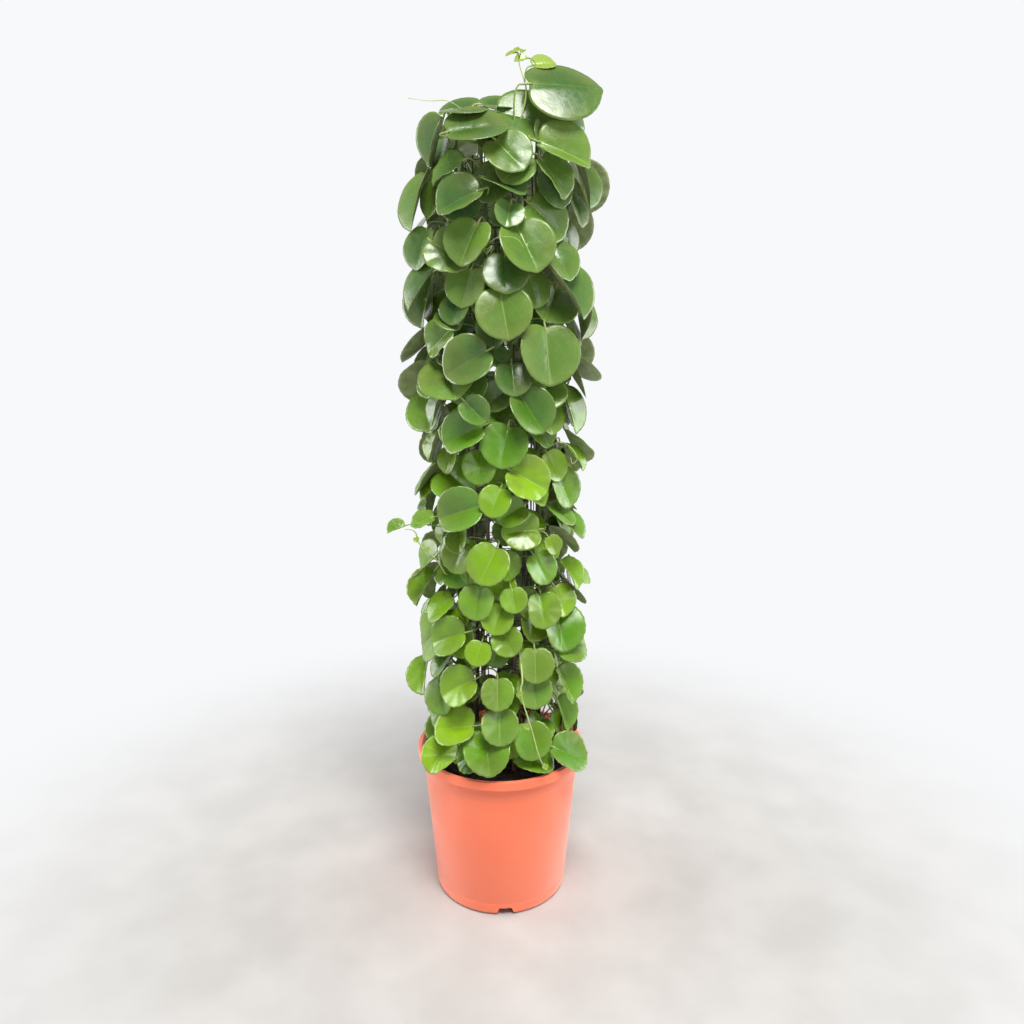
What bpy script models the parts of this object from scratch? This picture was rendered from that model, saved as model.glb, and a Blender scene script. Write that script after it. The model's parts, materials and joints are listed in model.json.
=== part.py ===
# A round-leaved cissus trained up an open net tube in a 24 cm plastic nursery pot.
# Metres, +Z up, the front of the plant towards -Y, the origin on the floor at the pot's axis.
# Angles round the axis start at the front and grow towards +X.
import random
from math import acos, atan2, cos, exp, pi, radians, sin, sqrt, tan, tau

import bmesh
import bpy
from mathutils import Vector
from mathutils.bvhtree import BVHTree

# Pot
POT_HEIGHT = 0.215
RIM_RADIUS = 0.120
RIM_DEPTH = 0.012
RIM_MOUTH_RADIUS = 0.1145
RIM_FLARE = 0.0062
WALL = 0.0016
SIDE_RADIUS_AT_FLOOR = 0.0944
SIDE_SLOPE = 0.088
FOOT_HEIGHT = 0.012
FOOT_RING_RADIUS = 0.0845
FOOT_ROUNDING = 0.007
NOTCHES = 3
NOTCH_TURN = radians(3.6)
NOTCH_TOP_WIDTH = 0.017
NOTCH_FLOOR_WIDTH = 0.026
DRAIN_HOLES = 4
DRAIN_HOLE_RADIUS = 0.004
DRAIN_CIRCLE_RADIUS = 0.058
TURN_STEPS = 32

# Soil
SOIL_TOP = 0.192
SOIL_MOUND = 0.003
FIT_GAP = 0.0003
HOLE_DEPTH = 0.060
HOLE_SIDES = 8

# Net tube
NET_RADIUS = 0.047
NET_FOOT = 0.130
NET_TOP = 1.022
NET_UPRIGHTS = 8
NET_HOOPS = 9
NET_STRAND = 0.0045
NET_THICKNESS = 0.002

# Stems
VINES = 9
FIRST_VINE = radians(20)
STEM_RADIUS = 0.0026
STEM_CIRCLE = 0.0555
STEM_TOP = 1.030
STEM_TOP_VARIES = 0.022
STEM_POINTS = 15
STEM_TILT = pi / 4
STEM_STRAIGHT = 0.012
SWAY_TURN = radians(5)
SWAY_TURN_PITCH = 0.34
SWAY_OUT = 0.002
SWAY_OUT_PITCH = 0.23
SWAY_START = 0.08

# Leaves; petiole width, tip point and notch are shares of the blade's width
LEAF_THICKNESS = 0.0012
LEAF_LENGTH = 0.97
TIP_POINT = 0.05
TIP_ANGLE = 0.16
NOTCH_DEPTH = 0.18
NOTCH_ANGLE = 0.35
NOTCH_OPENING = 0.042
PETIOLE_WIDTH = 0.034
PETIOLE_BEND = 0.25
PETIOLE_JOINT = 0.1
SHARPEST_FOLD = radians(135)
MOST_SIDEWAYS = 0.8
CREASE = 0.002
BLADE_STEPS = 4

# Room kept round a leaf when another is placed
CLEAR_THICKNESS = 0.0034
CLEAR_SWELL = 1.04
CLEAR_STEPS = 6
CLEAR_PETIOLE = 0.94
CLEAR_PETIOLE_OWN_STEM = 0.5
CLEAR_STEM = 0.0014
CLEAR_NET = 0.0028
CLEAR_RIM = 0.002
SEEN_SPREAD = 0.155
SPREAD = 0.136

# Where the seen leaves may move to find room
SEEN_TRIES = 220
SEEN_ASIDE = 0.004
SEEN_INWARD = 0.016
SEEN_TURN = radians(16)
SEEN_CURL = radians(12)
SEEN_DROP = 0.004
SEEN_DROP_VARIES = 0.020
LOWEST_NODE = SOIL_TOP + 0.016
HIGHEST_NODE_BELOW_TOP = 0.004

# Rule for the other leaves, as ranges in metres and degrees
RULE_TRIES = 60
RULE_SHRINK = 0.3
NODE_SPACING = 0.037
NODE_FREE = 0.4
FIRST_NODE = SOIL_TOP + 0.022
FIRST_NODE_STEP = 0.012
LOW_WIDTH = 0.060
HIGH_WIDTH = 0.084
WIDTH_VARIES = (0.8, 1.2)
RULE_TILT = (15, 50)
RULE_ASIDE = (4, 26)
RULE_FACING = (-15, 30)
RULE_BEARING = (0, 70)
RULE_OUT = (0.082, 0.112)
RULE_UP = (-0.02, 0.02)
RULE_FOLD = (0, 20)
RULE_CURL = (4, 25)
RULE_PETIOLE = 0.055

# Rule for the leaf that closes the top of each stem
CROWN_TRIES = 200
CROWN_WIDTH = (0.062, 0.084)
CROWN_ASIDE = (-30, 30)
CROWN_OUT = (0.02, 0.075)
CROWN_HEIGHT = (1.045, 1.085)
CROWN_FACING = (-40, 40)
CROWN_BEARING = (-40, 40)
CROWN_TILT = (50, 80)
CROWN_FOLD = (0, 14)
CROWN_CURL = (8, 25)
CROWN_PETIOLE = 0.075

# Leaves that give the front its look, in millimetres and degrees: across, up, out from the axis,
# width, then where the tip points (from straight down, + to the right), the way the blade faces
# (from the front, + to the right), how far it looks up, and how much its halves fold up.
SEEN_LEAVES = (
    (70, 1075, 60, 108, 95, 0, 35, 8),
    (55, 1120, 30, 34, 110, 0, 40, 10),
    (27, 1122, 30, 17, -80, 0, 40, 10),
    (22, 1030, 72, 74, 75, 5, 45, 5),
    (75, 1012, 67, 74, 20, 30, 25, 5),
    (92, 1050, 20, 65, 40, 60, 30, 0),
    (10, 1000, 92, 60, 40, 0, 30, 5),
    (-26, 1033, 90, 80, 110, -10, 65, 10),
    (-42, 1058, 55, 60, 60, -20, 70, 0),
    (5, 1060, 55, 45, 70, 10, 60, 0),
    (-78, 1030, 40, 60, -10, -55, 30, 25),
    (-62, 985, 62, 55, -60, -45, 35, 10),
    (-46, 948, 95, 64, -65, -12, 35, 10),
    (-105, 965, 15, 85, 0, -65, 25, 10),
    (-100, 903, 30, 60, -10, -45, 20, 10),
    (-82, 960, 45, 55, -20, -50, 20, 5),
    (5, 965, 82, 60, 60, 5, 50, 5),
    (10, 930, 90, 40, -20, 15, 30, 5),
    (58, 930, 72, 66, 50, 25, 25, 5),
    (32, 895, 102, 72, 20, 10, 28, 8),
    (-36, 900, 95, 62, -20, -15, 25, 8),
    (110, 985, 25, 72, 0, 70, 25, 10),
    (116, 1000, -70, 78, 10, 125, 35, 10),
    (100, 950, 30, 50, 10, 60, 30, 0),
    (68, 968, 50, 52, 20, 35, 25, 0),
    (90, 912, 40, 50, 10, 60, 20, 10),
    (-40, 850, 85, 55, -10, -20, 20, 5),
    (6, 866, 88, 58, 0, 5, 25, 0),
    (5, 818, 105, 70, 10, 0, 20, 5),
    (60, 770, 88, 82, 0, 20, 20, 8),
    (86, 846, 65, 80, 20, 50, 35, 15),
    (103, 870, 25, 60, 10, 75, 30, 10),
    (-55, 823, 78, 42, -10, -25, 25, 5),
    (-75, 788, 62, 54, -50, -40, 20, 5),
    (-39, 760, 96, 68, -60, -10, 25, 8),
    (15, 739, 92, 48, 0, 5, 25, 5),
    (42, 847, 78, 48, 10, 25, 20, 0),
    (93, 800, 30, 55, 10, 75, 35, 5),
    (-38, 727, 78, 52, -20, -15, 25, 0),
    (-32, 700, 100, 42, 45, -5, 20, 20),
    (38, 700, 96, 64, 30, 12, 22, 15),
    (-45, 671, 90, 62, -65, -15, 25, 10),
    (5, 659, 100, 62, -10, 0, 22, 5),
    (-25, 630, 88, 48, -5, -5, 25, 5),
    (34, 615, 96, 62, 60, 10, 25, 10),
    (70, 628, 62, 46, 20, 40, 25, 5),
    (85, 598, 52, 58, 15, 45, 20, 5),
    (100, 637, 42, 42, 5, 68, 45, 10),
    (-80, 705, 55, 55, 0, -72, 30, 10),
    (-88, 654, 45, 45, 0, -70, 30, 5),
    (94, 700, 30, 70, 5, 65, 25, 12),
    (-66, 635, 60, 38, -10, -45, 20, 5),
    (-50, 573, 93, 66, -72, -12, 25, 12),
    (-6, 587, 98, 44, -20, -5, 28, 5),
    (28, 546, 97, 54, -88, 8, 28, 10),
    (-15, 507, 101, 58, -25, -5, 25, 5),
    (-55, 511, 76, 48, -20, -25, 20, 0),
    (68, 526, 78, 28, 20, 25, 25, 5),
    (53, 497, 80, 48, 20, 30, 28, 5),
    (95, 480, 42, 50, 5, 60, 42, 12),
    (-105, 455, 20, 58, -5, -58, 40, 15),
    (-135, 547, 80, 30, -60, -20, 50, 5),
    (-100, 557, 65, 36, -60, -20, 60, 5),
    (90, 551, 52, 58, 10, 60, 58, 10),
    (80, 562, 45, 45, 0, 45, 50, 0),
    (-80, 540, 50, 30, 0, -60, 15, 0),
    (-30, 455, 93, 50, -10, -10, 25, 5),
    (17, 460, 102, 36, 10, 5, 28, 5),
    (-4, 433, 98, 44, -20, 0, 30, 5),
    (56, 440, 80, 52, 0, 25, 22, 5),
    (82, 445, 64, 48, 10, 40, 28, 5),
    (95, 382, 50, 58, 88, 30, 30, 10),
    (-68, 403, 82, 58, -68, -25, 30, 12),
    (-80, 437, 55, 50, -30, -45, 45, 0),
    (-29, 388, 100, 36, -15, -8, 30, 5),
    (8, 403, 99, 42, 30, 0, 35, 8),
    (46, 369, 93, 50, -5, 15, 30, 5),
    (-55, 338, 90, 58, -60, -20, 30, 10),
    (-4, 334, 105, 46, 0, 0, 32, 8),
    (44, 332, 90, 50, 5, 12, 30, 5),
    (90, 327, 55, 60, 10, 55, 30, 20),
    (88, 274, 45, 54, 5, 50, 20, 20),
    (-80, 355, 55, 45, 0, -68, 48, 5),
    (-60, 280, 90, 62, -78, -18, 50, 8),
    (-1, 290, 108, 52, 0, 0, 35, 5),
    (41, 267, 102, 54, 5, 12, 32, 5),
    (-80, 288, 55, 55, -20, -60, 30, 10),
    (-80, 240, 88, 56, -25, -25, 55, 5),
    (92, 234, 75, 60, 55, 25, 52, 5),
    (-18, 255, 108, 66, 10, -5, 48, 5),
    (45, 226, 80, 62, 60, 10, 65, 0),
    (-90, 230, 30, 45, 0, -70, 40, 5),
)


def clear_scene():
    for obj in list(bpy.data.objects):
        bpy.data.objects.remove(obj, do_unlink=True)


def new_collection(name):
    collection = bpy.data.collections.new(name)
    bpy.context.scene.collection.children.link(collection)
    return collection


def material(name, color, roughness):
    result = bpy.data.materials.new(name)
    result.use_nodes = True
    shader = result.node_tree.nodes["Principled BSDF"]
    shader.inputs["Base Color"].default_value = (*color, 1)
    shader.inputs["Roughness"].default_value = roughness
    return result


def add_object(name, mesh, collection, finish=None):
    obj = bpy.data.objects.new(name, mesh)
    if finish:
        mesh.materials.append(finish)
    collection.objects.link(obj)
    return obj


def add_cutter(obj):
    obj.hide_render = True
    obj.display_type = "WIRE"
    for old in list(obj.users_collection):
        old.objects.unlink(obj)
    cutters.objects.link(obj)
    return obj


def cut(obj, cutter):
    modifier = obj.modifiers.new(cutter.name, "BOOLEAN")
    modifier.operation = "DIFFERENCE"
    modifier.object = cutter


def turned(name, profile, finish):
    """A profile of (radius, height) points turned round the axis."""
    mesh = bpy.data.meshes.new(name)
    mesh.from_pydata([(r, 0, z) for r, z in profile], [(i, i + 1) for i in range(len(profile) - 1)], [])
    obj = add_object(name, mesh, plant, finish)
    screw = obj.modifiers.new("Turn", "SCREW")
    screw.steps = TURN_STEPS
    screw.render_steps = TURN_STEPS
    screw.use_merge_vertices = True
    screw.merge_threshold = 0.00001
    return obj


def rod(name, radius, sides, low, high, place):
    """An upright prism between two heights."""
    bpy.ops.mesh.primitive_cylinder_add(vertices=sides, radius=radius, depth=high - low)
    obj = bpy.context.object
    obj.name = name
    obj.location = (place[0], place[1], (low + high) / 2)
    return obj


def baked(obj):
    """The object's mesh with its modifiers applied."""
    bpy.context.view_layer.update()
    graph = bpy.context.evaluated_depsgraph_get()
    return bpy.data.meshes.new_from_object(obj.evaluated_get(graph))


def round_axis(radius, angle, height):
    return Vector((radius * sin(angle), -radius * cos(angle), height))


# Pot: thin wall, rolled rim with a hanging skirt, foot ring under a raised base
def side_radius(height):
    return SIDE_RADIUS_AT_FLOOR + SIDE_SLOPE * height


def make_pot(finish):
    base_top = FOOT_HEIGHT + WALL
    rim_under = POT_HEIGHT - WALL
    skirt_low = POT_HEIGHT - RIM_DEPTH
    edge = WALL / 2
    flare = POT_HEIGHT - RIM_FLARE
    profile = [(0, base_top), (side_radius(base_top) - WALL, base_top)]
    profile += [(side_radius(flare) - WALL, flare)]
    profile += [(RIM_MOUTH_RADIUS - edge, POT_HEIGHT - edge), (RIM_MOUTH_RADIUS, POT_HEIGHT)]
    profile += [(RIM_RADIUS - edge, POT_HEIGHT), (RIM_RADIUS, POT_HEIGHT - edge)]
    profile += [(RIM_RADIUS, skirt_low), (RIM_RADIUS - WALL, skirt_low)]
    profile += [(RIM_RADIUS - WALL, rim_under), (RIM_MOUTH_RADIUS + edge, rim_under)]
    profile += [(side_radius(flare), flare)]
    centre_radius = side_radius(FOOT_ROUNDING) - FOOT_ROUNDING
    for quarter in (0, 45, 90):
        turn = radians(quarter)
        profile += [(centre_radius + FOOT_ROUNDING * cos(turn), FOOT_ROUNDING * (1 - sin(turn)))]
    profile += [(FOOT_RING_RADIUS, 0), (FOOT_RING_RADIUS, FOOT_HEIGHT), (0, FOOT_HEIGHT)]
    pot = turned("pot", profile, finish)
    for notch in range(NOTCHES):
        cut(pot, notch_cutter(notch))
    for hole in range(DRAIN_HOLES):
        place = round_axis(DRAIN_CIRCLE_RADIUS, tau * (hole + 0.5) / DRAIN_HOLES, 0)
        drill = rod(f"drain_cutter_{hole + 1}", DRAIN_HOLE_RADIUS, HOLE_SIDES,
                    FOOT_HEIGHT / 2, 2 * FOOT_HEIGHT, place)
        cut(pot, add_cutter(drill))
    return pot


def notch_cutter(index):
    """A block through the foot ring, narrower at its top."""
    bpy.ops.mesh.primitive_cube_add(size=1)
    block = bpy.context.object
    block.name = f"notch_cutter_{index + 1}"
    low, high = -FOOT_HEIGHT, FOOT_HEIGHT - FIT_GAP
    grow = (NOTCH_FLOOR_WIDTH - NOTCH_TOP_WIDTH) / FOOT_HEIGHT
    for vertex in block.data.vertices:
        height = high if vertex.co.z > 0 else low
        width = NOTCH_TOP_WIDTH + grow * (high - height)
        vertex.co = (vertex.co.x * width, vertex.co.y * FOOT_RING_RADIUS / 2, height)
    angle = NOTCH_TURN + index * tau / NOTCHES
    block.location = round_axis(FOOT_RING_RADIUS, angle, 0)
    block.rotation_euler.z = angle
    return add_cutter(block)


# Soil: a plug that fills the pot, with a groove for the net and a plain hole for each stem
def make_soil(finish):
    low = FOOT_HEIGHT + WALL + FIT_GAP
    half_net = NET_THICKNESS / 2 + 3 * FIT_GAP
    flat = cos(pi / NET_UPRIGHTS)
    groove_in = NET_RADIUS * flat - half_net
    groove_out = NET_RADIUS + half_net
    groove_low = NET_FOOT - FIT_GAP

    def wall(height):
        return side_radius(height) - WALL - 2 * FIT_GAP

    profile = [(0, SOIL_TOP + SOIL_MOUND), (groove_in, SOIL_TOP + SOIL_MOUND)]
    profile += [(groove_in, groove_low), (groove_out, groove_low)]
    profile += [(groove_out, SOIL_TOP + SOIL_MOUND), (wall(SOIL_TOP), SOIL_TOP)]
    profile += [(wall(low), low), (0, low)]
    soil = turned("soil", profile, finish)
    for vine in range(VINES):
        foot = stem_point(vine, SOIL_TOP - HOLE_DEPTH)
        drill = rod(f"stem_hole_cutter_{vine + 1}", STEM_RADIUS + 2 * FIT_GAP, HOLE_SIDES,
                    foot.z - FIT_GAP, POT_HEIGHT, foot)
        cut(soil, add_cutter(drill))
    return soil


# Net: an open lattice of uprights and hoops rolled into a tube
def make_net(finish):
    bm = bmesh.new()
    columns = 2 * NET_UPRIGHTS
    rows = 2 * NET_HOOPS - 1
    bmesh.ops.create_grid(bm, x_segments=columns, y_segments=rows, size=1)
    bay = tau / NET_UPRIGHTS
    strand_angle = NET_STRAND / NET_RADIUS
    step = (NET_TOP - NET_FOOT - NET_STRAND) / (NET_HOOPS - 1)
    open_faces = []
    for face in bm.faces:
        centre = face.calc_center_median()
        column = int((centre.x + 1) / 2 * columns)
        row = int((centre.y + 1) / 2 * rows)
        if column % 2 and row % 2:
            open_faces.append(face)
    for vertex in bm.verts:
        column = round((vertex.co.x + 1) / 2 * columns)
        row = round((vertex.co.y + 1) / 2 * rows)
        angle = column // 2 * bay + column % 2 * strand_angle
        vertex.co = round_axis(NET_RADIUS, angle, NET_FOOT + row // 2 * step + row % 2 * NET_STRAND)
    bmesh.ops.delete(bm, geom=open_faces, context="FACES")
    bmesh.ops.remove_doubles(bm, verts=bm.verts, dist=0.00001)
    mesh = bpy.data.meshes.new("net")
    bm.to_mesh(mesh)
    bm.free()
    net = add_object("net", mesh, plant, finish)
    solidify = net.modifiers.new("Thickness", "SOLIDIFY")
    solidify.thickness = NET_THICKNESS
    solidify.offset = 0
    return net


# Stems: each stands in the soil just outside the net and sways a little on its way up
def smooth(value):
    value = min(max(value, 0), 1)
    return value * value * (3 - 2 * value)


def stem_top(vine):
    return STEM_TOP + STEM_TOP_VARIES * sin(2.4 * vine)


def home_angle(vine):
    return FIRST_VINE + vine * tau / VINES


def stem_point(vine, height):
    above = height - SOIL_TOP
    sway = smooth((above - STEM_STRAIGHT) / SWAY_START)
    turn = sway * SWAY_TURN * sin(tau * above / SWAY_TURN_PITCH + 1.7 * vine)
    out = sway * SWAY_OUT * (1 + sin(tau * above / SWAY_OUT_PITCH + 2.1 * vine))
    return round_axis(STEM_CIRCLE + out, home_angle(vine) + turn, height)


def stem_heights(vine):
    foot = SOIL_TOP - HOLE_DEPTH
    start = SOIL_TOP + STEM_STRAIGHT
    rise = (stem_top(vine) - start) / (STEM_POINTS - 2)
    return [foot] + [start + rise * i for i in range(STEM_POINTS - 1)]


def make_stem(vine, collection):
    """A four-sided stem, as this plant's young stems are."""
    curve = bpy.data.curves.new("stem", "CURVE")
    curve.dimensions = "3D"
    curve.bevel_depth = STEM_RADIUS
    curve.bevel_resolution = 0
    curve.use_fill_caps = True
    heights = stem_heights(vine)
    spline = curve.splines.new("POLY")
    spline.points.add(len(heights) - 1)
    for point, height in zip(spline.points, heights):
        place = stem_point(vine, height)
        point.co = (*place, 1)
        point.tilt = STEM_TILT + atan2(place.y, place.x)
    tube = add_object("stem_curve", curve, collection)
    mesh = baked(tube)
    bpy.data.objects.remove(tube, do_unlink=True)
    bm = bmesh.new()
    bm.from_mesh(mesh)
    bmesh.ops.remove_doubles(bm, verts=bm.verts, dist=0.00001)
    bmesh.ops.recalc_face_normals(bm, faces=bm.faces)
    bm.to_mesh(mesh)
    bm.free()
    return mesh


# Leaves: a round blade with a shallow notch at its petiole and a small point at its tip
def outline_radius(angle):
    """Half a width, by the angle from the tip."""
    point = TIP_POINT * exp(-(angle / TIP_ANGLE) ** 2)
    notch = NOTCH_DEPTH * exp(-((pi - angle) / NOTCH_ANGLE) ** 2)
    return 0.5 * (1 + point - notch)


def leaf_blank(steps, swell=1):
    """The flat blade in widths and lengths, with its petiole behind it, as a slab from z -1 to +1."""
    bm = bmesh.new()
    bmesh.ops.create_circle(bm, cap_ends=True, cap_tris=True, radius=1, segments=2 * steps + 1)
    rim = [v for v in bm.verts if v.co.length > 0.5]
    closing = pi - NOTCH_OPENING
    for vertex in bm.verts:
        if vertex not in rim:
            vertex.co = (0, 0.5, 0)
    for index, vertex in enumerate(rim):
        step = index if index <= steps else index - 2 * steps - 1
        angle = min(abs(step) * pi / steps, closing)
        radius = outline_radius(angle) * swell
        vertex.co = (-radius * sin(angle) * (1 if step > 0 else -1), 0.5 + radius * cos(angle), 0)
    joint = [e for e in bm.edges if all(v in rim[steps:steps + 2] for v in e.verts)]
    grown = bmesh.ops.extrude_edge_only(bm, edges=joint)["geom"]
    for vertex in grown:
        if isinstance(vertex, bmesh.types.BMVert):
            vertex.co = (PETIOLE_WIDTH / 2 * (1 if vertex.co.x > 0 else -1), -1, 0)
    bmesh.ops.recalc_face_normals(bm, faces=bm.faces)
    bmesh.ops.solidify(bm, geom=bm.faces, thickness=1)
    bmesh.ops.triangulate(bm, faces=bm.faces)
    middle = sum(v.co.z for v in bm.verts) / len(bm.verts)
    for vertex in bm.verts:
        vertex.co.z = 1 if vertex.co.z > middle else -1
    bmesh.ops.recalc_face_normals(bm, faces=bm.faces)
    mesh = bpy.data.meshes.new("leaf_blank")
    bm.to_mesh(mesh)
    bm.free()
    return mesh


class Leaf:
    """One leaf: where it grows from, where its blade lies and which way it looks."""

    def __init__(self, centre, width, bearing, facing, tilt, fold, curl):
        self.width = width
        self.fold = fold
        self.curl = curl
        self.centre = centre
        side = Vector((cos(facing), sin(facing), 0))
        self.face = Vector((sin(facing) * cos(tilt), -cos(facing) * cos(tilt), sin(tilt)))
        fall = side.cross(self.face)
        self.along = fall * cos(bearing) + side * sin(bearing)
        self.across = self.along.cross(self.face)
        self.length = width * LEAF_LENGTH
        self.base = centre - self.along * self.length / 2

    def grow_from(self, vine, height):
        """Its petiole starts at a height of a stem."""
        self.vine = vine
        self.root = stem_point(vine, height)
        rise = self.base - self.root
        self.petiole = rise.length
        self.sideways = abs(rise.normalized().dot(self.across))
        self.turned_back = acos(min(max(rise.normalized().dot(self.along), -1), 1))

    def point(self, x, y, z):
        """Where a point of the flat blank lies on the grown leaf; z is in metres off its middle."""
        if y < 0:
            return self.petiole_point(x, -y, z)
        turn = self.curl * y
        forward = self.length * (sin(turn) / self.curl)
        sink = self.length * (1 - cos(turn)) / self.curl
        up = self.face * cos(turn) + self.along * sin(turn)
        half = x * self.width
        round_crease = sqrt(half * half + CREASE * CREASE)
        slope = sin(self.fold) * half / round_crease
        spine = self.base + self.along * forward - self.face * sink
        blade = spine + self.across * half * cos(self.fold) + up * sin(self.fold) * (round_crease - CREASE)
        place = blade + (up * cos(self.fold) - self.across * slope).normalized() * z
        if y < PETIOLE_JOINT:
            place -= self.along * z * tan(self.turned_back / 2)
        return place

    def petiole_point(self, x, share, z):
        """The petiole leaves the blade in its own line and bends over to the stem."""
        bend = self.base - self.along * self.petiole * PETIOLE_BEND
        rest = 1 - share
        spine = self.base * rest * rest + bend * 2 * rest * share + self.root * share * share
        run = ((self.base - bend) * rest + (bend - self.root) * share).normalized()
        level = run.cross(Vector((0, 0, 1)))
        if level.dot(self.across) < 0:
            level.negate()
        side = self.across.lerp(level, share)
        side = (side - run * side.dot(run)).normalized()
        return spine + side * x * self.width + side.cross(run) * z


class Growth:
    """Places leaves so that none crosses another, a stem, the net, the soil or the pot."""

    def __init__(self):
        self.leaves = []
        self.shapes = []
        net_radius = NET_RADIUS + CLEAR_NET
        self.solids = [self.frustum(net_radius, net_radius, NET_FOOT, NET_TOP + CLEAR_NET)]
        self.solids += [self.frustum(SIDE_RADIUS_AT_FLOOR, RIM_RADIUS + CLEAR_RIM, 0, POT_HEIGHT + FIT_GAP)]
        self.stems = [self.stem_shape(vine) for vine in range(VINES)]
        self.flat, self.faces = self.corners(leaf_blank(CLEAR_STEPS, CLEAR_SWELL))
        self.drawn, self.drawn_faces = self.corners(leaf_blank(BLADE_STEPS))

    @staticmethod
    def corners(blank):
        points = [v.co.copy() for v in blank.vertices]
        faces = [tuple(p.vertices) for p in blank.polygons]
        bpy.data.meshes.remove(blank)
        return points, faces

    @staticmethod
    def frustum(low_radius, high_radius, low, high):
        bm = bmesh.new()
        bmesh.ops.create_cone(bm, cap_ends=True, segments=TURN_STEPS, radius1=low_radius,
                              radius2=high_radius, depth=high - low)
        bmesh.ops.translate(bm, verts=bm.verts, vec=(0, 0, (low + high) / 2))
        tree = BVHTree.FromBMesh(bm)
        bm.free()
        return tree

    @staticmethod
    def stem_shape(vine):
        """A square sleeve round the stem, with a little room."""
        room = STEM_RADIUS + CLEAR_STEM
        points = []
        for height in stem_heights(vine):
            middle = stem_point(vine, height)
            for corner in range(4):
                turn = corner * pi / 2
                points.append(middle + Vector((room * cos(turn), room * sin(turn), 0)))
        faces = []
        for ring in range(len(points) // 4 - 1):
            for corner in range(4):
                low = 4 * ring + corner
                low_next = 4 * ring + (corner + 1) % 4
                faces.append((low, low_next, low_next + 4, low + 4))
        return BVHTree.FromPolygons(points, faces)

    def shape(self, leaf, petiole_share):
        """The leaf made thick and a little large, with only a share of its petiole."""
        half = CLEAR_THICKNESS / 2
        points = []
        for co in self.flat:
            place = leaf.point(co.x, co.y, co.z * half)
            if co.y < 0:
                joint = leaf.point(co.x, 0.5 - outline_radius(pi), co.z * half)
                place = joint.lerp(place, petiole_share)
            points.append(place)
        return points, BVHTree.FromPolygons(points, self.faces)

    def crosses_itself(self, leaf):
        points = [leaf.point(co.x, co.y, co.z * LEAF_THICKNESS / 2) for co in self.drawn]
        tree = BVHTree.FromPolygons(points, self.drawn_faces)
        faces = self.drawn_faces
        return any(set(faces[a]).isdisjoint(faces[b]) for a, b in tree.overlap(tree))

    def fits(self, leaf, spread=SPREAD):
        if leaf.turned_back > SHARPEST_FOLD or leaf.sideways > MOST_SIDEWAYS or self.crosses_itself(leaf):
            return False
        points, tree = self.shape(leaf, CLEAR_PETIOLE)
        if max(max(abs(p.x), abs(p.y)) for p in points) > spread:
            return False
        blade = [p for p, co in zip(points, self.flat) if co.y > 0]
        if any(p.z < POT_HEIGHT and p.xy.length < RIM_RADIUS for p in blade):
            return False
        if any(tree.overlap(solid) for solid in self.solids):
            return False
        if any(tree.overlap(stem) for vine, stem in enumerate(self.stems) if vine != leaf.vine):
            return False
        if self.shape(leaf, CLEAR_PETIOLE_OWN_STEM)[1].overlap(self.stems[leaf.vine]):
            return False
        size = leaf.width / 2 + leaf.petiole
        for other, shape in self.shapes:
            if (other.centre - leaf.centre).length < size + other.width / 2 + other.petiole:
                if tree.overlap(shape):
                    return False
        self.leaves.append(leaf)
        self.shapes.append((leaf, tree))
        return True


def nearest_vine(place):
    def distance(vine):
        return (stem_point(vine, min(place.z, stem_top(vine))) - place).length
    return min(range(VINES), key=distance)


def grow_leaves():
    """The leaves seen from the front, one that closes each stem, then one at each free node."""
    growth = Growth()
    rng = random.Random(11)
    for row in sorted(SEEN_LEAVES, key=lambda row: -row[3]):
        place_seen_leaf(growth, rng, row)
    for vine in range(VINES):
        place_crown_leaf(growth, rng, vine)
    for vine in range(VINES):
        taken = [leaf.root.z for leaf in growth.leaves if leaf.vine == vine]
        height = FIRST_NODE + FIRST_NODE_STEP * (vine % 3)
        side = 1 if vine % 2 else -1
        while height < stem_top(vine):
            if all(abs(height - other) > NODE_FREE * NODE_SPACING for other in taken):
                place_rule_leaf(growth, rng, vine, height, side)
            height += NODE_SPACING
            side = -side
    return growth.leaves


def place_seen_leaf(growth, rng, row):
    """Tries the row's own place, then places further and further from it."""
    across, up, out, width = (value / 1000 for value in row[:4])
    bearing, facing, tilt, fold = (radians(value) for value in row[4:])
    for attempt in range(SEEN_TRIES):
        give = attempt / SEEN_TRIES
        wander = [rng.uniform(-give, give) for _ in range(6)]
        place = Vector((across, -out, up))
        place += Vector((SEEN_ASIDE * wander[0], -SEEN_INWARD * wander[1], SEEN_ASIDE * wander[2]))
        facing_now = facing + SEEN_TURN * wander[3]
        tilt_now = tilt + SEEN_TURN * wander[4]
        leaf = Leaf(place, width, bearing, facing_now, tilt_now, fold, SEEN_CURL)
        vine = nearest_vine(leaf.base)
        node = leaf.base.z - SEEN_DROP - SEEN_DROP_VARIES * wander[5]
        leaf.grow_from(vine, min(max(node, LOWEST_NODE), stem_top(vine) - HIGHEST_NODE_BELOW_TOP))
        if growth.fits(leaf, SEEN_SPREAD):
            return


def place_crown_leaf(growth, rng, vine):
    """The last leaf of a stem lies over the open top of the net."""
    for attempt in range(CROWN_TRIES):
        width = rng.uniform(*CROWN_WIDTH) * (1 - RULE_SHRINK * attempt / CROWN_TRIES)
        angle = home_angle(vine) + radians(rng.uniform(*CROWN_ASIDE))
        centre = round_axis(rng.uniform(*CROWN_OUT), angle, rng.uniform(*CROWN_HEIGHT))
        facing = angle + radians(rng.uniform(*CROWN_FACING))
        bearing = radians(rng.uniform(*CROWN_BEARING))
        tilt = radians(rng.uniform(*CROWN_TILT))
        fold = radians(rng.uniform(*CROWN_FOLD))
        curl = radians(rng.uniform(*CROWN_CURL))
        leaf = Leaf(centre, width, bearing, facing, tilt, fold, curl)
        leaf.grow_from(vine, stem_top(vine) - HIGHEST_NODE_BELOW_TOP)
        if leaf.petiole < CROWN_PETIOLE and growth.fits(leaf):
            return


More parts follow.
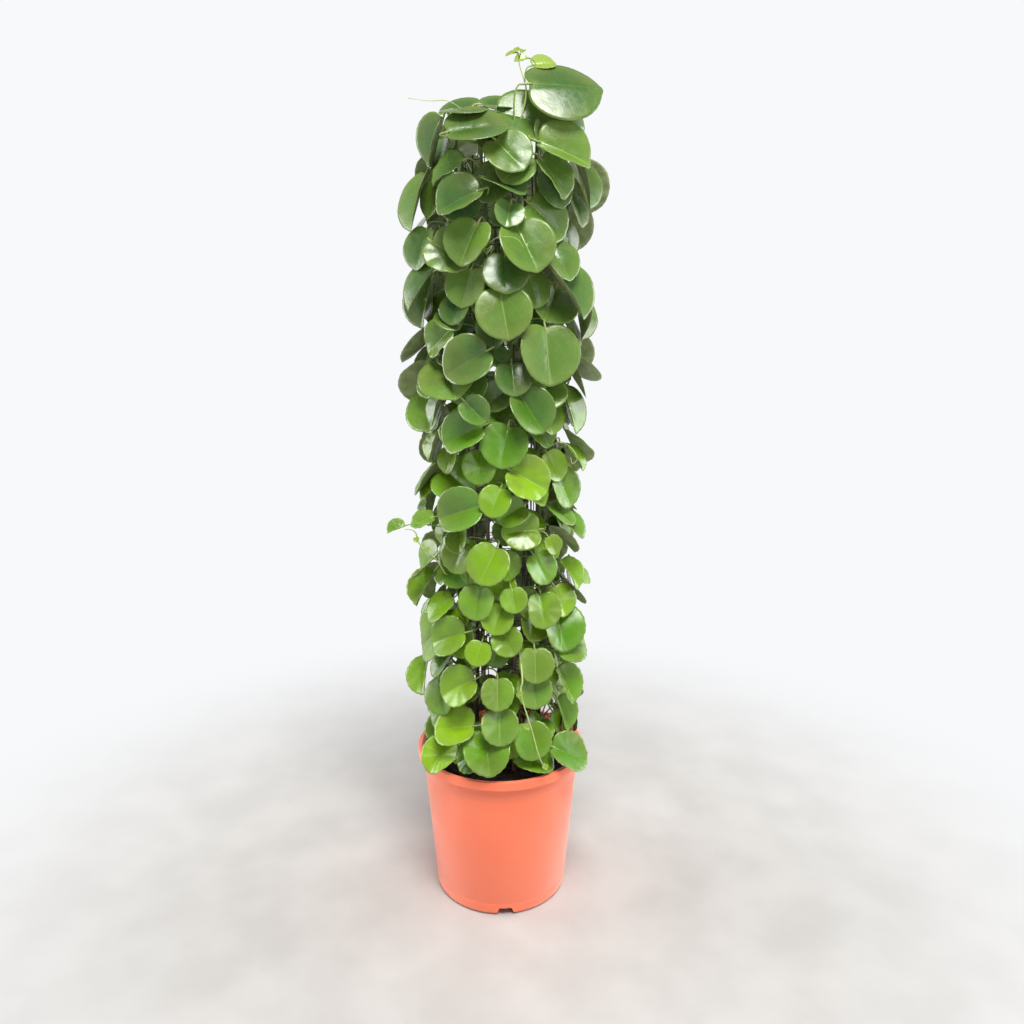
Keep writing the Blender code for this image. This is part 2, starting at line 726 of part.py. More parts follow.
def place_rule_leaf(growth, rng, vine, height, side):
    """Blades are larger towards the top; leaves lean to the two sides of a stem in turn."""
    usual = LOW_WIDTH + (HIGH_WIDTH - LOW_WIDTH) * smooth((height - 0.25) / 0.8)
    for attempt in range(RULE_TRIES):
        width = usual * rng.uniform(*WIDTH_VARIES) * (1 - RULE_SHRINK * attempt / RULE_TRIES)
        tilt = radians(rng.uniform(*RULE_TILT))
        angle = home_angle(vine) + side * radians(rng.uniform(*RULE_ASIDE))
        facing = angle + side * radians(rng.uniform(*RULE_FACING))
        bearing = side * radians(rng.uniform(*RULE_BEARING))
        centre = round_axis(rng.uniform(*RULE_OUT), angle, height + rng.uniform(*RULE_UP))
        fold = radians(rng.uniform(*RULE_FOLD))
        curl = radians(rng.uniform(*RULE_CURL))
        leaf = Leaf(centre, width, bearing, facing, tilt, fold, curl)
        leaf.grow_from(vine, height)
        if leaf.petiole < RULE_PETIOLE and growth.fits(leaf):
            return


def make_vine(vine, leaves, blank, finish):
    """One stem with its leaves, joined into one body."""
    repeats = new_collection(f"leaves_{vine + 1}")
    for leaf in leaves:
        mesh = blank.copy()
        for vertex in mesh.vertices:
            vertex.co = leaf.point(vertex.co.x, vertex.co.y, vertex.co.z * LEAF_THICKNESS / 2)
        add_object("leaf", mesh, repeats)
    stem = add_object(f"vine_{vine + 1}", make_stem(vine, repeats), plant, finish)
    union = stem.modifiers.new("Leaves", "BOOLEAN")
    union.operation = "UNION"
    union.operand_type = "COLLECTION"
    union.collection = repeats
    union.solver = "MANIFOLD"
    joined = baked(stem)
    stem.modifiers.clear()
    stem.data = joined
    for obj in list(repeats.objects):
        bpy.data.objects.remove(obj, do_unlink=True)
    bpy.data.collections.remove(repeats)
    return stem


clear_scene()
plant = new_collection("potted_cissus")
cutters = new_collection("cutters")
make_pot(material("terracotta_plastic", (0.90, 0.25, 0.12), 0.35))
make_soil(material("potting_soil", (0.03, 0.022, 0.016), 0.95))
make_net(material("black_plastic", (0.02, 0.02, 0.02), 0.5))
leaf_finish = material("leaf", (0.13, 0.28, 0.04), 0.3)
all_leaves = grow_leaves()
blank_mesh = leaf_blank(BLADE_STEPS)
for vine_index in range(VINES):
    own = [leaf for leaf in all_leaves if leaf.vine == vine_index]
    make_vine(vine_index, own, blank_mesh, leaf_finish)
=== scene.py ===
# A round-leaved cissus on its net tube in a terracotta-coloured nursery pot, dressed for its picture.
# Metres, +Z up, the front of the plant towards -Y, the origin on the floor at the pot's axis.
# Angles round the axis start at the front and grow towards +X.
import json
import random
from math import acos, ceil, cos, exp, pi, radians, sin, sqrt, tan, tau

import bmesh
import bpy
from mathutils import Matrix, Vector, noise
from mathutils.bvhtree import BVHTree

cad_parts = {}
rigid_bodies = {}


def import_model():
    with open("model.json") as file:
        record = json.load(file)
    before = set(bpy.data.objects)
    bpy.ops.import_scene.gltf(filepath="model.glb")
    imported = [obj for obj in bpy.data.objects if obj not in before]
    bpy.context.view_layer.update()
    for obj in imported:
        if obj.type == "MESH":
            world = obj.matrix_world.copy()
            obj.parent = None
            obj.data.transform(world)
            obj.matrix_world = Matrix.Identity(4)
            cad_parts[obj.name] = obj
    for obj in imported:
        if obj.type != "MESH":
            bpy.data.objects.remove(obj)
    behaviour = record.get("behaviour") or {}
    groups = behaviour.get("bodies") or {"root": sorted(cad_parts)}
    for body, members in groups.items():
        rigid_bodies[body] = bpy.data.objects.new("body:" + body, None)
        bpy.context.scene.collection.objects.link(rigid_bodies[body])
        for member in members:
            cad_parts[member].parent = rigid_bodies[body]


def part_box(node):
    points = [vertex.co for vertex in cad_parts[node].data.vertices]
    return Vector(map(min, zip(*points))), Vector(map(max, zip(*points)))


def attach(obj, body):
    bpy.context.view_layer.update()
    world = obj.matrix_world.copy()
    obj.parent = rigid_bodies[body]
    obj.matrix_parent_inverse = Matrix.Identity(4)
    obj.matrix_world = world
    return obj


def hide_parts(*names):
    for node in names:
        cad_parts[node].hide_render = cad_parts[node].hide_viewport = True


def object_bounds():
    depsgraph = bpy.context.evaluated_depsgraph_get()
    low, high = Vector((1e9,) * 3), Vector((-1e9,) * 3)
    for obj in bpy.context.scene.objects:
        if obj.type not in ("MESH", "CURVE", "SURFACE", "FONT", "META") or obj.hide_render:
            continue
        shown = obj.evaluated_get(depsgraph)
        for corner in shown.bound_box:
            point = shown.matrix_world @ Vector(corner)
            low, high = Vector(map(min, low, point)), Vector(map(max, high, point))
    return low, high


# The solids: pot, soil, net tube and nine leafy stems as they were built, all on one body.
# Every piece below takes its place from them and stands for one of them.
for old in list(bpy.data.objects):
    bpy.data.objects.remove(old, do_unlink=True)
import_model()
cad_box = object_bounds()
_, pot_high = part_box("pot")
soil_low, soil_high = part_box("soil")
_, net_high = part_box("net")


# Studio: a pale floor that melts into a white room, a large soft light high in front, a weak one
# beside the camera and one at each side. The camera is a metre away and looks a little down.
CAMERA_PLACE = (0, -1.05, 0.746)
CAMERA_DOWN = radians(10.3)
CAMERA_RIGHT = radians(0.9)
CAMERA_LENS = 27.04
FLOOR_RADIUS = 30.0
FLOOR_SIDES = 128
FLOOR_FADES = (0.3, 1.1)
FLOOR_CLOUDS = (0.12, 6)
FLOOR_COLOURS = ((0.42, 0.41, 0.395), (0.48, 0.47, 0.455))
ROOM_COLOUR = (0.975, 0.985, 1.0)
ROOM_STRENGTH = 0.96
CEILING_STRENGTH = 0.30
CEILING_STARTS = (0.40, 0.62)
NEAR_END = (-0.75, -0.1)
NEAR_END_SHARE = 0.44
# Name, place, width, watts and colour of each light
SOFT_LIGHTS = (
    ("top_light", (0.4, -1.8, 3.9), 1.6, 205, (1, 0.985, 0.96)),
    ("front_light", (1.7, -2.2, 1.5), 1.0, 10, (1, 0.99, 0.97)),
    ("left_light", (-2.4, 0.5, 1.0), 1.4, 40, (0.98, 0.99, 1)),
    ("right_light", (2.4, 0.6, 1.0), 1.4, 36, (0.98, 0.99, 1)),
)


def feed(tree, node, feeds):
    """Gives a node's inputs, by name or place, a value or another node's output."""
    for place, value in feeds.items():
        if isinstance(value, bpy.types.NodeSocket):
            tree.links.new(value, node.inputs[place])
        else:
            node.inputs[place].default_value = value


def add_node(tree, kind, feeds, **settings):
    added = tree.nodes.new("ShaderNode" + kind)
    for setting, value in settings.items():
        setattr(added, setting, value)
    feed(tree, added, feeds)
    return added


def worked(tree, operation, *values):
    """The result of one sum on numbers or on other nodes' results."""
    return add_node(tree, "Math", dict(enumerate(values)), operation=operation).outputs[0]


def parts_of(tree, value):
    """The three parts of a place or a direction."""
    return add_node(tree, "SeparateXYZ", {0: value}).outputs


def speckle(tree, places, size, detail, roughness=0.5):
    """Soft random grain, from 0 to 1: its lumps have about a size in metres, with finer and finer
    detail on them."""
    feeds = {"Vector": places, "Scale": 1 / size, "Detail": detail, "Roughness": roughness}
    return add_node(tree, "TexNoise", feeds).outputs[0]


def between(tree, share, first, second):
    """A colour between two colours."""
    feeds = {0: share}
    for place, colour in ((6, first), (7, second)):
        feeds[place] = colour if isinstance(colour, bpy.types.NodeSocket) else (*colour, 1)
    return add_node(tree, "Mix", feeds, data_type="RGBA").outputs[2]


def eased(tree, value, low, high, to_low=0.0, to_high=1.0):
    """Runs smoothly from one value to another while the input goes from low to high."""
    feeds = {0: value, 1: low, 2: high, 3: to_low, 4: to_high}
    return add_node(tree, "MapRange", feeds, interpolation_type="SMOOTHSTEP").outputs[0]


def new_finish(name):
    finish = bpy.data.materials.new(name)
    finish.use_nodes = True
    return finish, finish.node_tree, finish.node_tree.nodes["Principled BSDF"]


def uneven(tree, shader, height, depth):
    """Raises the surface by a height pattern, of a depth in metres."""
    bump = add_node(tree, "Bump", {"Height": height, "Distance": depth, "Strength": 1.0})
    tree.links.new(bump.outputs[0], shader.inputs["Normal"])


def object_places(tree):
    return add_node(tree, "TexCoord", {}).outputs["Object"]


def floor_finish():
    """Smooth pale concrete round the pot, which turns into the even white of the room further off."""
    finish, tree, shader = new_finish("pale_floor")
    places = object_places(tree)
    cloud = eased(tree, speckle(tree, places, *FLOOR_CLOUDS), 0.3, 0.7)
    colour = between(tree, cloud, *FLOOR_COLOURS)
    feed(tree, shader, {"Base Color": colour, "Roughness": 0.5, "Specular IOR Level": 0.3})
    glow = add_node(tree, "Emission", {"Color": (*ROOM_COLOUR, 1), "Strength": ROOM_STRENGTH})
    reach = add_node(tree, "VectorMath", {0: places}, operation="LENGTH").outputs["Value"]
    far = eased(tree, reach, *FLOOR_FADES)
    sweep = add_node(tree, "MixShader", {0: far, 1: shader.outputs[0], 2: glow.outputs[0]})
    tree.links.new(sweep.outputs[0], tree.nodes["Material Output"].inputs["Surface"])
    return finish


def mesh_from(bm, name):
    """The mesh of all that was gathered, which ends the gathering."""
    mesh = bpy.data.meshes.new(name)
    bm.to_mesh(mesh)
    bm.free()
    return mesh


def add_object(name, data):
    """Puts a mesh, a light or a camera in the scene."""
    added = bpy.data.objects.new(name, data)
    bpy.context.scene.collection.objects.link(added)
    return added


def lay_floor():
    bm = bmesh.new()
    bmesh.ops.create_circle(bm, cap_ends=True, radius=FLOOR_RADIUS, segments=FLOOR_SIDES)
    mesh = mesh_from(bm, "floor")
    mesh.materials.append(floor_finish())
    floor = add_object("floor", mesh)


def hang_light(name, place, size, watts, colour):
    """A square soft light that looks at the middle of the plant."""
    light = bpy.data.lights.new(name, "AREA")
    light.shape = "SQUARE"
    light.size = size
    light.energy = watts
    light.color = colour
    lamp = add_object(name, light)
    lamp.visible_camera = False
    lamp.location = place
    middle = Vector((0, 0, cad_box[1].z / 2))
    lamp.rotation_euler = (middle - lamp.location).to_track_quat("-Z", "Y").to_euler()


def set_up_camera():
    lens = bpy.data.cameras.new("camera")
    lens.lens = CAMERA_LENS
    camera = add_object("camera", lens)
    camera.location = CAMERA_PLACE
    camera.rotation_euler = (pi / 2 - CAMERA_DOWN, 0, -CAMERA_RIGHT)
    bpy.context.scene.camera = camera


def paint_room():
    """White up to a third of the way to the zenith, with a darker ceiling and a darker near end,
    which light and mirror in the plant but are not seen themselves."""
    room = bpy.data.worlds.new("room")
    room.use_nodes = True
    tree = room.node_tree
    background = tree.nodes["Background"]
    background.inputs["Color"].default_value = (*ROOM_COLOUR, 1)
    direction = add_node(tree, "TexCoord", {}).outputs["Generated"]
    parts = parts_of(tree, direction)
    strength = eased(tree, parts[2], *CEILING_STARTS, ROOM_STRENGTH, CEILING_STRENGTH)
    near_end = eased(tree, parts[1], *NEAR_END, NEAR_END_SHARE, 1.0)
    strength = worked(tree, "MULTIPLY", strength, near_end)
    seen = add_node(tree, "LightPath", {}).outputs["Is Camera Ray"]
    missing = worked(tree, "SUBTRACT", ROOM_STRENGTH, strength)
    strength = worked(tree, "MULTIPLY_ADD", seen, missing, strength)
    tree.links.new(strength, background.inputs["Strength"])
    bpy.context.scene.world = room
    bpy.context.scene.view_settings.view_transform = "Standard"


set_up_camera()
paint_room()
for soft_light in SOFT_LIGHTS:
    hang_light(*soft_light)
lay_floor()


# Pot: injection-moulded polypropylene, 1.6 mm thick, with a lip that rolls over into a
# hanging skirt, a faint mould line below it and another over the foot. Notches and holes drain it.
WALL = 0.0016
SIDE_RADIUS_AT_FLOOR = 0.0944
SIDE_SLOPE = 0.088
RIM_DEPTH = 0.012
RIM_MOUTH_RADIUS = 0.1145
RIM_FLARE = 0.0062
FOOT_HEIGHT = 0.012
FOOT_RING_RADIUS = 0.0845
FOOT_ROUNDING = 0.007
FOOT_ROUNDING_STEPS = 6
NOTCHES = 3
NOTCH_TURN = radians(3.6)
NOTCH_TOP_WIDTH = 0.017
NOTCH_FLOOR_WIDTH = 0.026
NOTCH_BELOW_BASE = 0.0003
DRAIN_HOLES = 4
DRAIN_HOLE_RADIUS = 0.004
DRAIN_CIRCLE_RADIUS = 0.058
DRILL_SIDES = 32
POT_TURN_STEPS = 180
AXIS_MERGE = 0.00001
CORNER_ROUNDING = 0.0007
CORNER_STEPS = 4
CORNER_SHARE = 0.4
ALMOST_STRAIGHT = radians(165)
MOULD_LINES = ((0.018, 0.0004), (0.182, -0.0004))
MOULD_LINE_WIDTH = 0.0012
SHARP_ANGLE = radians(40)
POT_CLOUDS = (0.09, 4)
POT_SMEARS = (0.012, 6, 0.65)
POT_RUBBED = (0.02, 5, 0.6)
POT_GLOSS = (0.28, 0.38)
POT_GRAIN = (0.0011, 2)
POT_GRAIN_DEPTH = 0.00006
POT_COLOURS = ((0.91, 0.170, 0.070), (0.94, 0.190, 0.082))
POT_DUST_COLOUR = (0.80, 0.32, 0.20)
POT_BLOOM = 0.45
POT_BLOOM_COLOUR = (1.0, 0.80, 0.76)


def side_radius(height):
    return SIDE_RADIUS_AT_FLOOR + SIDE_SLOPE * height


def pot_profile():
    """Corners (radius, height) from the middle of the base inside, over the lip, to that below."""
    height = pot_high.z
    rim = pot_high.x
    base_top = FOOT_HEIGHT + WALL
    flare = height - RIM_FLARE
    skirt_low = height - RIM_DEPTH
    profile = [(0, base_top), (side_radius(base_top) - WALL, base_top)]
    profile += [(side_radius(flare) - WALL, flare), (RIM_MOUTH_RADIUS, height), (rim, height)]
    profile += [(rim, skirt_low), (rim - WALL, skirt_low), (rim - WALL, height - WALL)]
    profile += [(RIM_MOUTH_RADIUS + WALL / 2, height - WALL), (side_radius(flare), flare)]
    for line, step in reversed(MOULD_LINES):
        profile += [(side_radius(line) - step * (step < 0), line + MOULD_LINE_WIDTH)]
        profile += [(side_radius(line) - step * (step > 0), line)]
        profile += [(side_radius(line), line - MOULD_LINE_WIDTH)]
    centre_radius = side_radius(FOOT_ROUNDING) - FOOT_ROUNDING
    for step in range(FOOT_ROUNDING_STEPS + 1):
        turn = step * pi / 2 / FOOT_ROUNDING_STEPS
        profile += [(centre_radius + FOOT_ROUNDING * cos(turn), FOOT_ROUNDING * (1 - sin(turn)))]
    profile += [(FOOT_RING_RADIUS, 0), (FOOT_RING_RADIUS, FOOT_HEIGHT), (0, FOOT_HEIGHT)]
    return profile


def corners_rounded(profile, rounding):
    """The same outline with each sharp corner replaced by a short curve."""
    rounded = [Vector(profile[0])]
    for before, corner, after in zip(profile, profile[1:], profile[2:]):
        corner = Vector(corner)
        back = Vector(before) - corner
        ahead = Vector(after) - corner
        reach = min(rounding, back.length * CORNER_SHARE, ahead.length * CORNER_SHARE)
        start = corner + back.normalized() * reach
        end = corner + ahead.normalized() * reach
        if back.angle(ahead) > ALMOST_STRAIGHT:
            rounded.append(corner)
            continue
        for step in range(CORNER_STEPS + 1):
            share = step / CORNER_STEPS
            rounded.append(start.lerp(corner, share).lerp(corner.lerp(end, share), share))
    return rounded + [Vector(profile[-1])]


def evaluated(obj):
    """The object's mesh with its modifiers applied."""
    bpy.context.view_layer.update()
    graph = bpy.context.evaluated_depsgraph_get()
    return bpy.data.meshes.new_from_object(obj.evaluated_get(graph))


def turned(name, profile, steps):
    """A profile turned round the axis, as a lathe does."""
    mesh = bpy.data.meshes.new(name)
    edges = [(i, i + 1) for i in range(len(profile) - 1)]
    mesh.from_pydata([(r, 0, z) for r, z in profile], edges, [])
    obj = add_object(name, mesh)
    screw = obj.modifiers.new("turn", "SCREW")
    screw.steps = steps
    screw.render_steps = steps
    screw.use_merge_vertices = True
    screw.merge_threshold = AXIS_MERGE
    obj.data = evaluated(obj)
    obj.modifiers.clear()
    return obj


def round_axis(radius, angle, height):
    return Vector((radius * sin(angle), -radius * cos(angle), height))


def drain_cutter():
    """One mesh of all the blocks and drills that open the foot and the base."""
    bm = bmesh.new()
    grow = (NOTCH_FLOOR_WIDTH - NOTCH_TOP_WIDTH) / FOOT_HEIGHT
    for notch in range(NOTCHES):
        angle = NOTCH_TURN + notch * tau / NOTCHES
        outward = round_axis(1, angle, 0)
        aside = Vector((outward.y, -outward.x, 0))
        for vertex in bmesh.ops.create_cube(bm, size=1)["verts"]:
            height = FOOT_HEIGHT - NOTCH_BELOW_BASE if vertex.co.z > 0 else -FOOT_HEIGHT
            width = NOTCH_TOP_WIDTH + grow * (FOOT_HEIGHT - height)
            place = outward * FOOT_RING_RADIUS * (1 + vertex.co.y / 2) + aside * vertex.co.x * width
            vertex.co = (place.x, place.y, height)
    for hole in range(DRAIN_HOLES):
        place = round_axis(DRAIN_CIRCLE_RADIUS, tau * (hole + 0.5) / DRAIN_HOLES, FOOT_HEIGHT)
        drill = bmesh.ops.create_cone(bm, cap_ends=True, segments=DRILL_SIDES, depth=FOOT_HEIGHT,
                                      radius1=DRAIN_HOLE_RADIUS, radius2=DRAIN_HOLE_RADIUS)
        bmesh.ops.translate(bm, verts=drill["verts"], vec=place)
    bmesh.ops.recalc_face_normals(bm, faces=bm.faces)
    return add_object("drain_cutter", mesh_from(bm, "drain_cutter"))


def pot_plastic():
    """Satin orange plastic with a fine grain, faint flow clouds and a little dust low down."""
    finish, tree, shader = new_finish("terracotta_plastic")
    places = object_places(tree)
    clouds = eased(tree, speckle(tree, places, *POT_CLOUDS), 0.3, 0.7)
    clean = between(tree, clouds, *POT_COLOURS)
    low_down = eased(tree, parts_of(tree, places)[2], 0.0, 0.03, 0.5, 0.0)
    smears = eased(tree, speckle(tree, places, *POT_SMEARS), 0.5, 0.75)
    colour = between(tree, worked(tree, "MULTIPLY", low_down, smears), clean, POT_DUST_COLOUR)
    rubbed = eased(tree, speckle(tree, places, *POT_RUBBED), 0.3, 0.7, *POT_GLOSS)
    feed(tree, shader, {"Base Color": colour, "Roughness": rubbed,
                        "Sheen Weight": POT_BLOOM, "Sheen Tint": (*POT_BLOOM_COLOUR, 1)})
    uneven(tree, shader, speckle(tree, places, *POT_GRAIN), POT_GRAIN_DEPTH)
    return finish


def make_pot():
    pot = turned("nursery_pot", corners_rounded(pot_profile(), CORNER_ROUNDING), POT_TURN_STEPS)
    cutter = drain_cutter()
    opening = pot.modifiers.new("drains", "BOOLEAN")
    opening.operation = "DIFFERENCE"
    opening.object = cutter
    pot.data = evaluated(pot)
    pot.modifiers.clear()
    bpy.data.objects.remove(cutter, do_unlink=True)
    pot.data.shade_smooth()
    pot.data.set_sharp_from_angle(angle=SHARP_ANGLE)
    pot.data.materials.clear()
    pot.data.materials.append(pot_plastic())
    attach(pot, "root")
    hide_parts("pot")


make_pot()


# Soil: dark peat filled to two centimetres under the lip, crumbly on top, with loose crumbs and a
# few pale fibres on it. It lies loose in the pot and is heaped a little towards the stems.
SOIL_TOP = 0.192
SOIL_WALL_GAP = 0.0006
SOIL_RINGS = 56
SOIL_SPOKES = 168
SOIL_LUMP = 0.0034
SOIL_LUMP_SIZE = 0.011
SOIL_GRIT = 0.0011
SOIL_GRIT_SIZE = 0.0034
SOIL_SEED = 5
CRUMBS = 420
CRUMB_RADIUS = (0.0007, 0.0026)
CRUMB_SHRINK = (0.5, 1)
CRUMB_ROUGHNESS = (0.7, 1.2)
CRUMB_STANDS_OUT = 0.3
CRUMB_WALL_GAP = 0.006
FIBRES = 46
FIBRE_LENGTH = (0.008, 0.022)
FIBRE_RADIUS = 0.00028
FIBRE_SIDES = 5
FIBRE_STEPS = 5
FIBRE_BEND = 0.12
FIBRE_ARCH = 0.0012
FIBRE_SPREAD = 0.095
FIBRE_FARTHEST = 0.104
PEAT, FIBRE = range(2)
PEAT_GRAIN = (0.0035, 8, 0.7)
PEAT_RELIEF = (0.0012, 8, 0.75)
PEAT_RELIEF_DEPTH = 0.0009
FIBRE_GRAIN = (0.004, 4)
SOIL_COLOURS = ((0.012, 0.008, 0.006), (0.060, 0.038, 0.024))
FIBRE_COLOUR = (0.21, 0.13, 0.07)


def soil_height(place):
    """The crumbly top: broad lumps with grit on them, on a low heap that falls away towards the pot.
    """
    across = place.xy.length / side_radius(SOIL_TOP)
    heap = (soil_high.z - SOIL_TOP) * (1 - across * across)
    lump = SOIL_LUMP * noise.noise(place / SOIL_LUMP_SIZE)
    grit = SOIL_GRIT * noise.noise(place / SOIL_GRIT_SIZE)
    return SOIL_TOP + heap + lump + grit


def spoke_places(radius, height):
    """A ring of places round the axis, one on each spoke."""
    return [round_axis(radius, tau * spoke / SOIL_SPOKES, height) for spoke in range(SOIL_SPOKES)]


def soil_skin(bm):
    """The plug: its lumpy top, its side against the pot and its flat underside."""
    wall = side_radius(SOIL_TOP) - WALL - SOIL_WALL_GAP
    rings = []
    for ring in range(1, SOIL_RINGS + 1):
        places = spoke_places(wall * ring / SOIL_RINGS, 0)
        rings.append([bm.verts.new((p.x, p.y, soil_height(p))) for p in places])
    low_wall = side_radius(soil_low.z) - WALL - SOIL_WALL_GAP
    rings.append([bm.verts.new(p) for p in spoke_places(low_wall, soil_low.z)])
    for inner, outer in zip(rings, rings[1:]):
        for spoke in range(SOIL_SPOKES):
            bm.faces.new((inner[spoke], outer[spoke], outer[spoke - 1], inner[spoke - 1]))
    top = bm.verts.new((0, 0, soil_height(Vector((0, 0, 0)))))
    low = bm.verts.new((0, 0, soil_low.z))
    for spoke in range(SOIL_SPOKES):
        bm.faces.new((rings[0][spoke], rings[0][spoke - 1], top))
        bm.faces.new((rings[-1][spoke - 1], rings[-1][spoke], low))


def scatter_crumbs(bm, rng):
    for _ in range(CRUMBS):
        reach = (side_radius(SOIL_TOP) - CRUMB_WALL_GAP) * sqrt(rng.random())
        place = round_axis(reach, rng.uniform(0, tau), 0)
        radius = rng.uniform(*CRUMB_RADIUS) * rng.uniform(*CRUMB_SHRINK)
        place.z = soil_height(place) + radius * CRUMB_STANDS_OUT
        crumb = bmesh.ops.create_icosphere(bm, subdivisions=1, radius=radius)["verts"]
        for vertex in crumb:
            vertex.co = place + vertex.co * rng.uniform(*CRUMB_ROUGHNESS)


def add_tube(bm, path, radii, sides, finish=0):
    """A closed tube along a path of points, with a radius at each."""
    rings = []
    side = (path[1] - path[0]).orthogonal().normalized()
    for index, (place, radius) in enumerate(zip(path, radii)):
        run = (path[min(index + 1, len(path) - 1)] - path[max(index - 1, 0)]).normalized()
        side = (side - run * side.dot(run)).normalized()
        up = run.cross(side)
        ring = []
        for corner in range(sides):
            turn = tau * corner / sides
            ring.append(bm.verts.new(place + (side * cos(turn) + up * sin(turn)) * radius))
        rings.append(ring)
    faces = []
    for low, high in zip(rings, rings[1:]):
        for corner in range(sides):
            faces.append((low[corner - 1], low[corner], high[corner], high[corner - 1]))
    for corners in (*faces, rings[0][::-1], rings[-1]):
        bm.faces.new(corners).material_index = finish


def scatter_fibres(bm, rng):
    for _ in range(FIBRES):
        start = round_axis(FIBRE_SPREAD * sqrt(rng.random()), rng.uniform(0, tau), 0)
        heading = rng.uniform(0, tau)
        length = rng.uniform(*FIBRE_LENGTH)
        path = []
        for step in range(FIBRE_STEPS + 1):
            place = start + round_axis(length * step / FIBRE_STEPS, heading + FIBRE_BEND * step, 0)
            place.z = soil_height(place) + FIBRE_RADIUS + FIBRE_ARCH * sin(step)
            path.append(place)
        if all(place.xy.length < FIBRE_FARTHEST for place in path):
            add_tube(bm, path, [FIBRE_RADIUS] * len(path), FIBRE_SIDES, FIBRE)


def peat():
    """Almost black, browner in random specks, matt, with a fine broken grain."""
    finish, tree, shader = new_finish("potting_soil")
    places = object_places(tree)
    browner = eased(tree, speckle(tree, places, *PEAT_GRAIN), 0.35, 0.75)
    colour = between(tree, browner, *SOIL_COLOURS)
    feed(tree, shader, {"Base Color": colour, "Roughness": 0.92, "Specular IOR Level": 0.25})
    uneven(tree, shader, speckle(tree, places, *PEAT_RELIEF), PEAT_RELIEF_DEPTH)
    return finish


def dry_fibre():
    finish, tree, shader = new_finish("peat_fibre")
    grain = speckle(tree, object_places(tree), *FIBRE_GRAIN)
    colour = between(tree, grain, SOIL_COLOURS[1], FIBRE_COLOUR)
    feed(tree, shader, {"Base Color": colour, "Roughness": 0.85})
    return finish


def finished_piece(name, bm, finishes):
    """Turns what was gathered into one smooth object with its finishes."""
    bmesh.ops.recalc_face_normals(bm, faces=bm.faces)
    mesh = mesh_from(bm, name)
    for finish in finishes:
        mesh.materials.append(finish)
    mesh.shade_smooth()
    piece = add_object(name, mesh)
    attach(piece, "root")
    return piece


def make_soil():
    rng = random.Random(SOIL_SEED)
    bm = bmesh.new()
    soil_skin(bm)
    scatter_crumbs(bm, rng)
    scatter_fibres(bm, rng)
    soil = finished_piece("potting_soil", bm, [peat(), dry_fibre()])
    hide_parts("soil")


make_soil()


# Net tube: black extruded plastic netting rolled into a tube that stands in the soil and holds up
# the stems. Its strands are thin and slightly wavy, and its top is cut off between two hoops.
NET_UPRIGHTS = 16
NET_CELL = 0.0205
NET_STRAND_RADIUS = 0.0007
NET_STRAND_SIDES = 6
NET_HOOP_RADIUS = 0.0006
NET_HOOP_SIDES = 5
NET_HOOP_STEPS = 3 * NET_UPRIGHTS
NET_INSIDE = 0.0015
NET_SINK = 0.03
NET_CUT_END = 0.006
NET_CUT_VARIES = 5.1
NET_GRAIN = (0.003, 3)
NET_COLOURS = ((0.012, 0.013, 0.010), (0.045, 0.048, 0.040))
# How far the strands wave, how tightly round the tube and up it, and where the pattern starts
NET_WAVE_OUT = (0.0012, 2.1, 14, 0)
NET_WAVE_ASIDE = (0.05, 3.2, 22, 40)
NET_WAVE_UP = (0.002, 2.7, 30, 80)


def net_wave(angle, height, size, around, upward, start):
    place = Vector((cos(angle) * around, sin(angle) * around, height * upward + start))
    return size * noise.noise(place)


def net_place(angle, height):
    """A point of the tube, which is nowhere quite round."""
    radius = net_high.x - NET_INSIDE + net_wave(angle, height, *NET_WAVE_OUT)
    turn = net_wave(angle, height, *NET_WAVE_ASIDE)
    lift = net_wave(angle, height, *NET_WAVE_UP)
    return round_axis(radius, angle + turn, height + lift)


def netting():
    finish, tree, shader = new_finish("black_plastic")
    grain = speckle(tree, object_places(tree), *NET_GRAIN)
    gloss = eased(tree, grain, 0.3, 0.7, 0.35, 0.55)
    feed(tree, shader, {"Base Color": between(tree, grain, *NET_COLOURS), "Roughness": gloss})
    return finish


def make_net():
    bm = bmesh.new()
    low = soil_high.z - NET_SINK
    hoops = int((net_high.z - low) / NET_CELL)
    for upright in range(NET_UPRIGHTS):
        angle = tau * upright / NET_UPRIGHTS
        top = low + hoops * NET_CELL + NET_CUT_END * (0.5 + 0.5 * sin(NET_CUT_VARIES * upright))
        rises = 2 * hoops
        path = [net_place(angle, low + (top - low) * rise / rises) for rise in range(rises + 1)]
        add_tube(bm, path, [NET_STRAND_RADIUS] * len(path), NET_STRAND_SIDES)
    for hoop in range(1, hoops + 1):
        height = low + hoop * NET_CELL
        angles = [tau * step / NET_HOOP_STEPS for step in range(NET_HOOP_STEPS + 1)]
        path = [net_place(angle, height) for angle in angles]
        add_tube(bm, path, [NET_HOOP_RADIUS] * len(path), NET_HOOP_SIDES)
    net = finished_piece("net_tube", bm, [netting()])
    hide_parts("net")


make_net()


# Where everything grows: nine stems stand in the soil round the net, and every leaf springs from a
# stem at a node. The places follow the solids, leaf by leaf, so each blade lies where its solid is.
VINES = 9
FIRST_VINE = radians(20)
STEM_RADIUS = 0.0026
STEM_CIRCLE = 0.0555
STEM_TOP = 1.030
STEM_TOP_VARIES = 0.022
STEM_TOP_PHASE = 2.4
STEM_POINTS = 15
STEM_STRAIGHT = 0.012
STEM_HOLE_DEPTH = 0.060
SWAY_TURN = radians(5)
SWAY_TURN_PITCH = 0.34
SWAY_TURN_PHASE = 1.7
SWAY_OUT = 0.002
SWAY_OUT_PITCH = 0.23
SWAY_OUT_PHASE = 2.1
SWAY_START = 0.08
POT_HEIGHT = 0.215
RIM_RADIUS = 0.120
NET_RADIUS = 0.047
NET_FOOT = 0.130
NET_TOP = 1.022
TURN_STEPS = 32
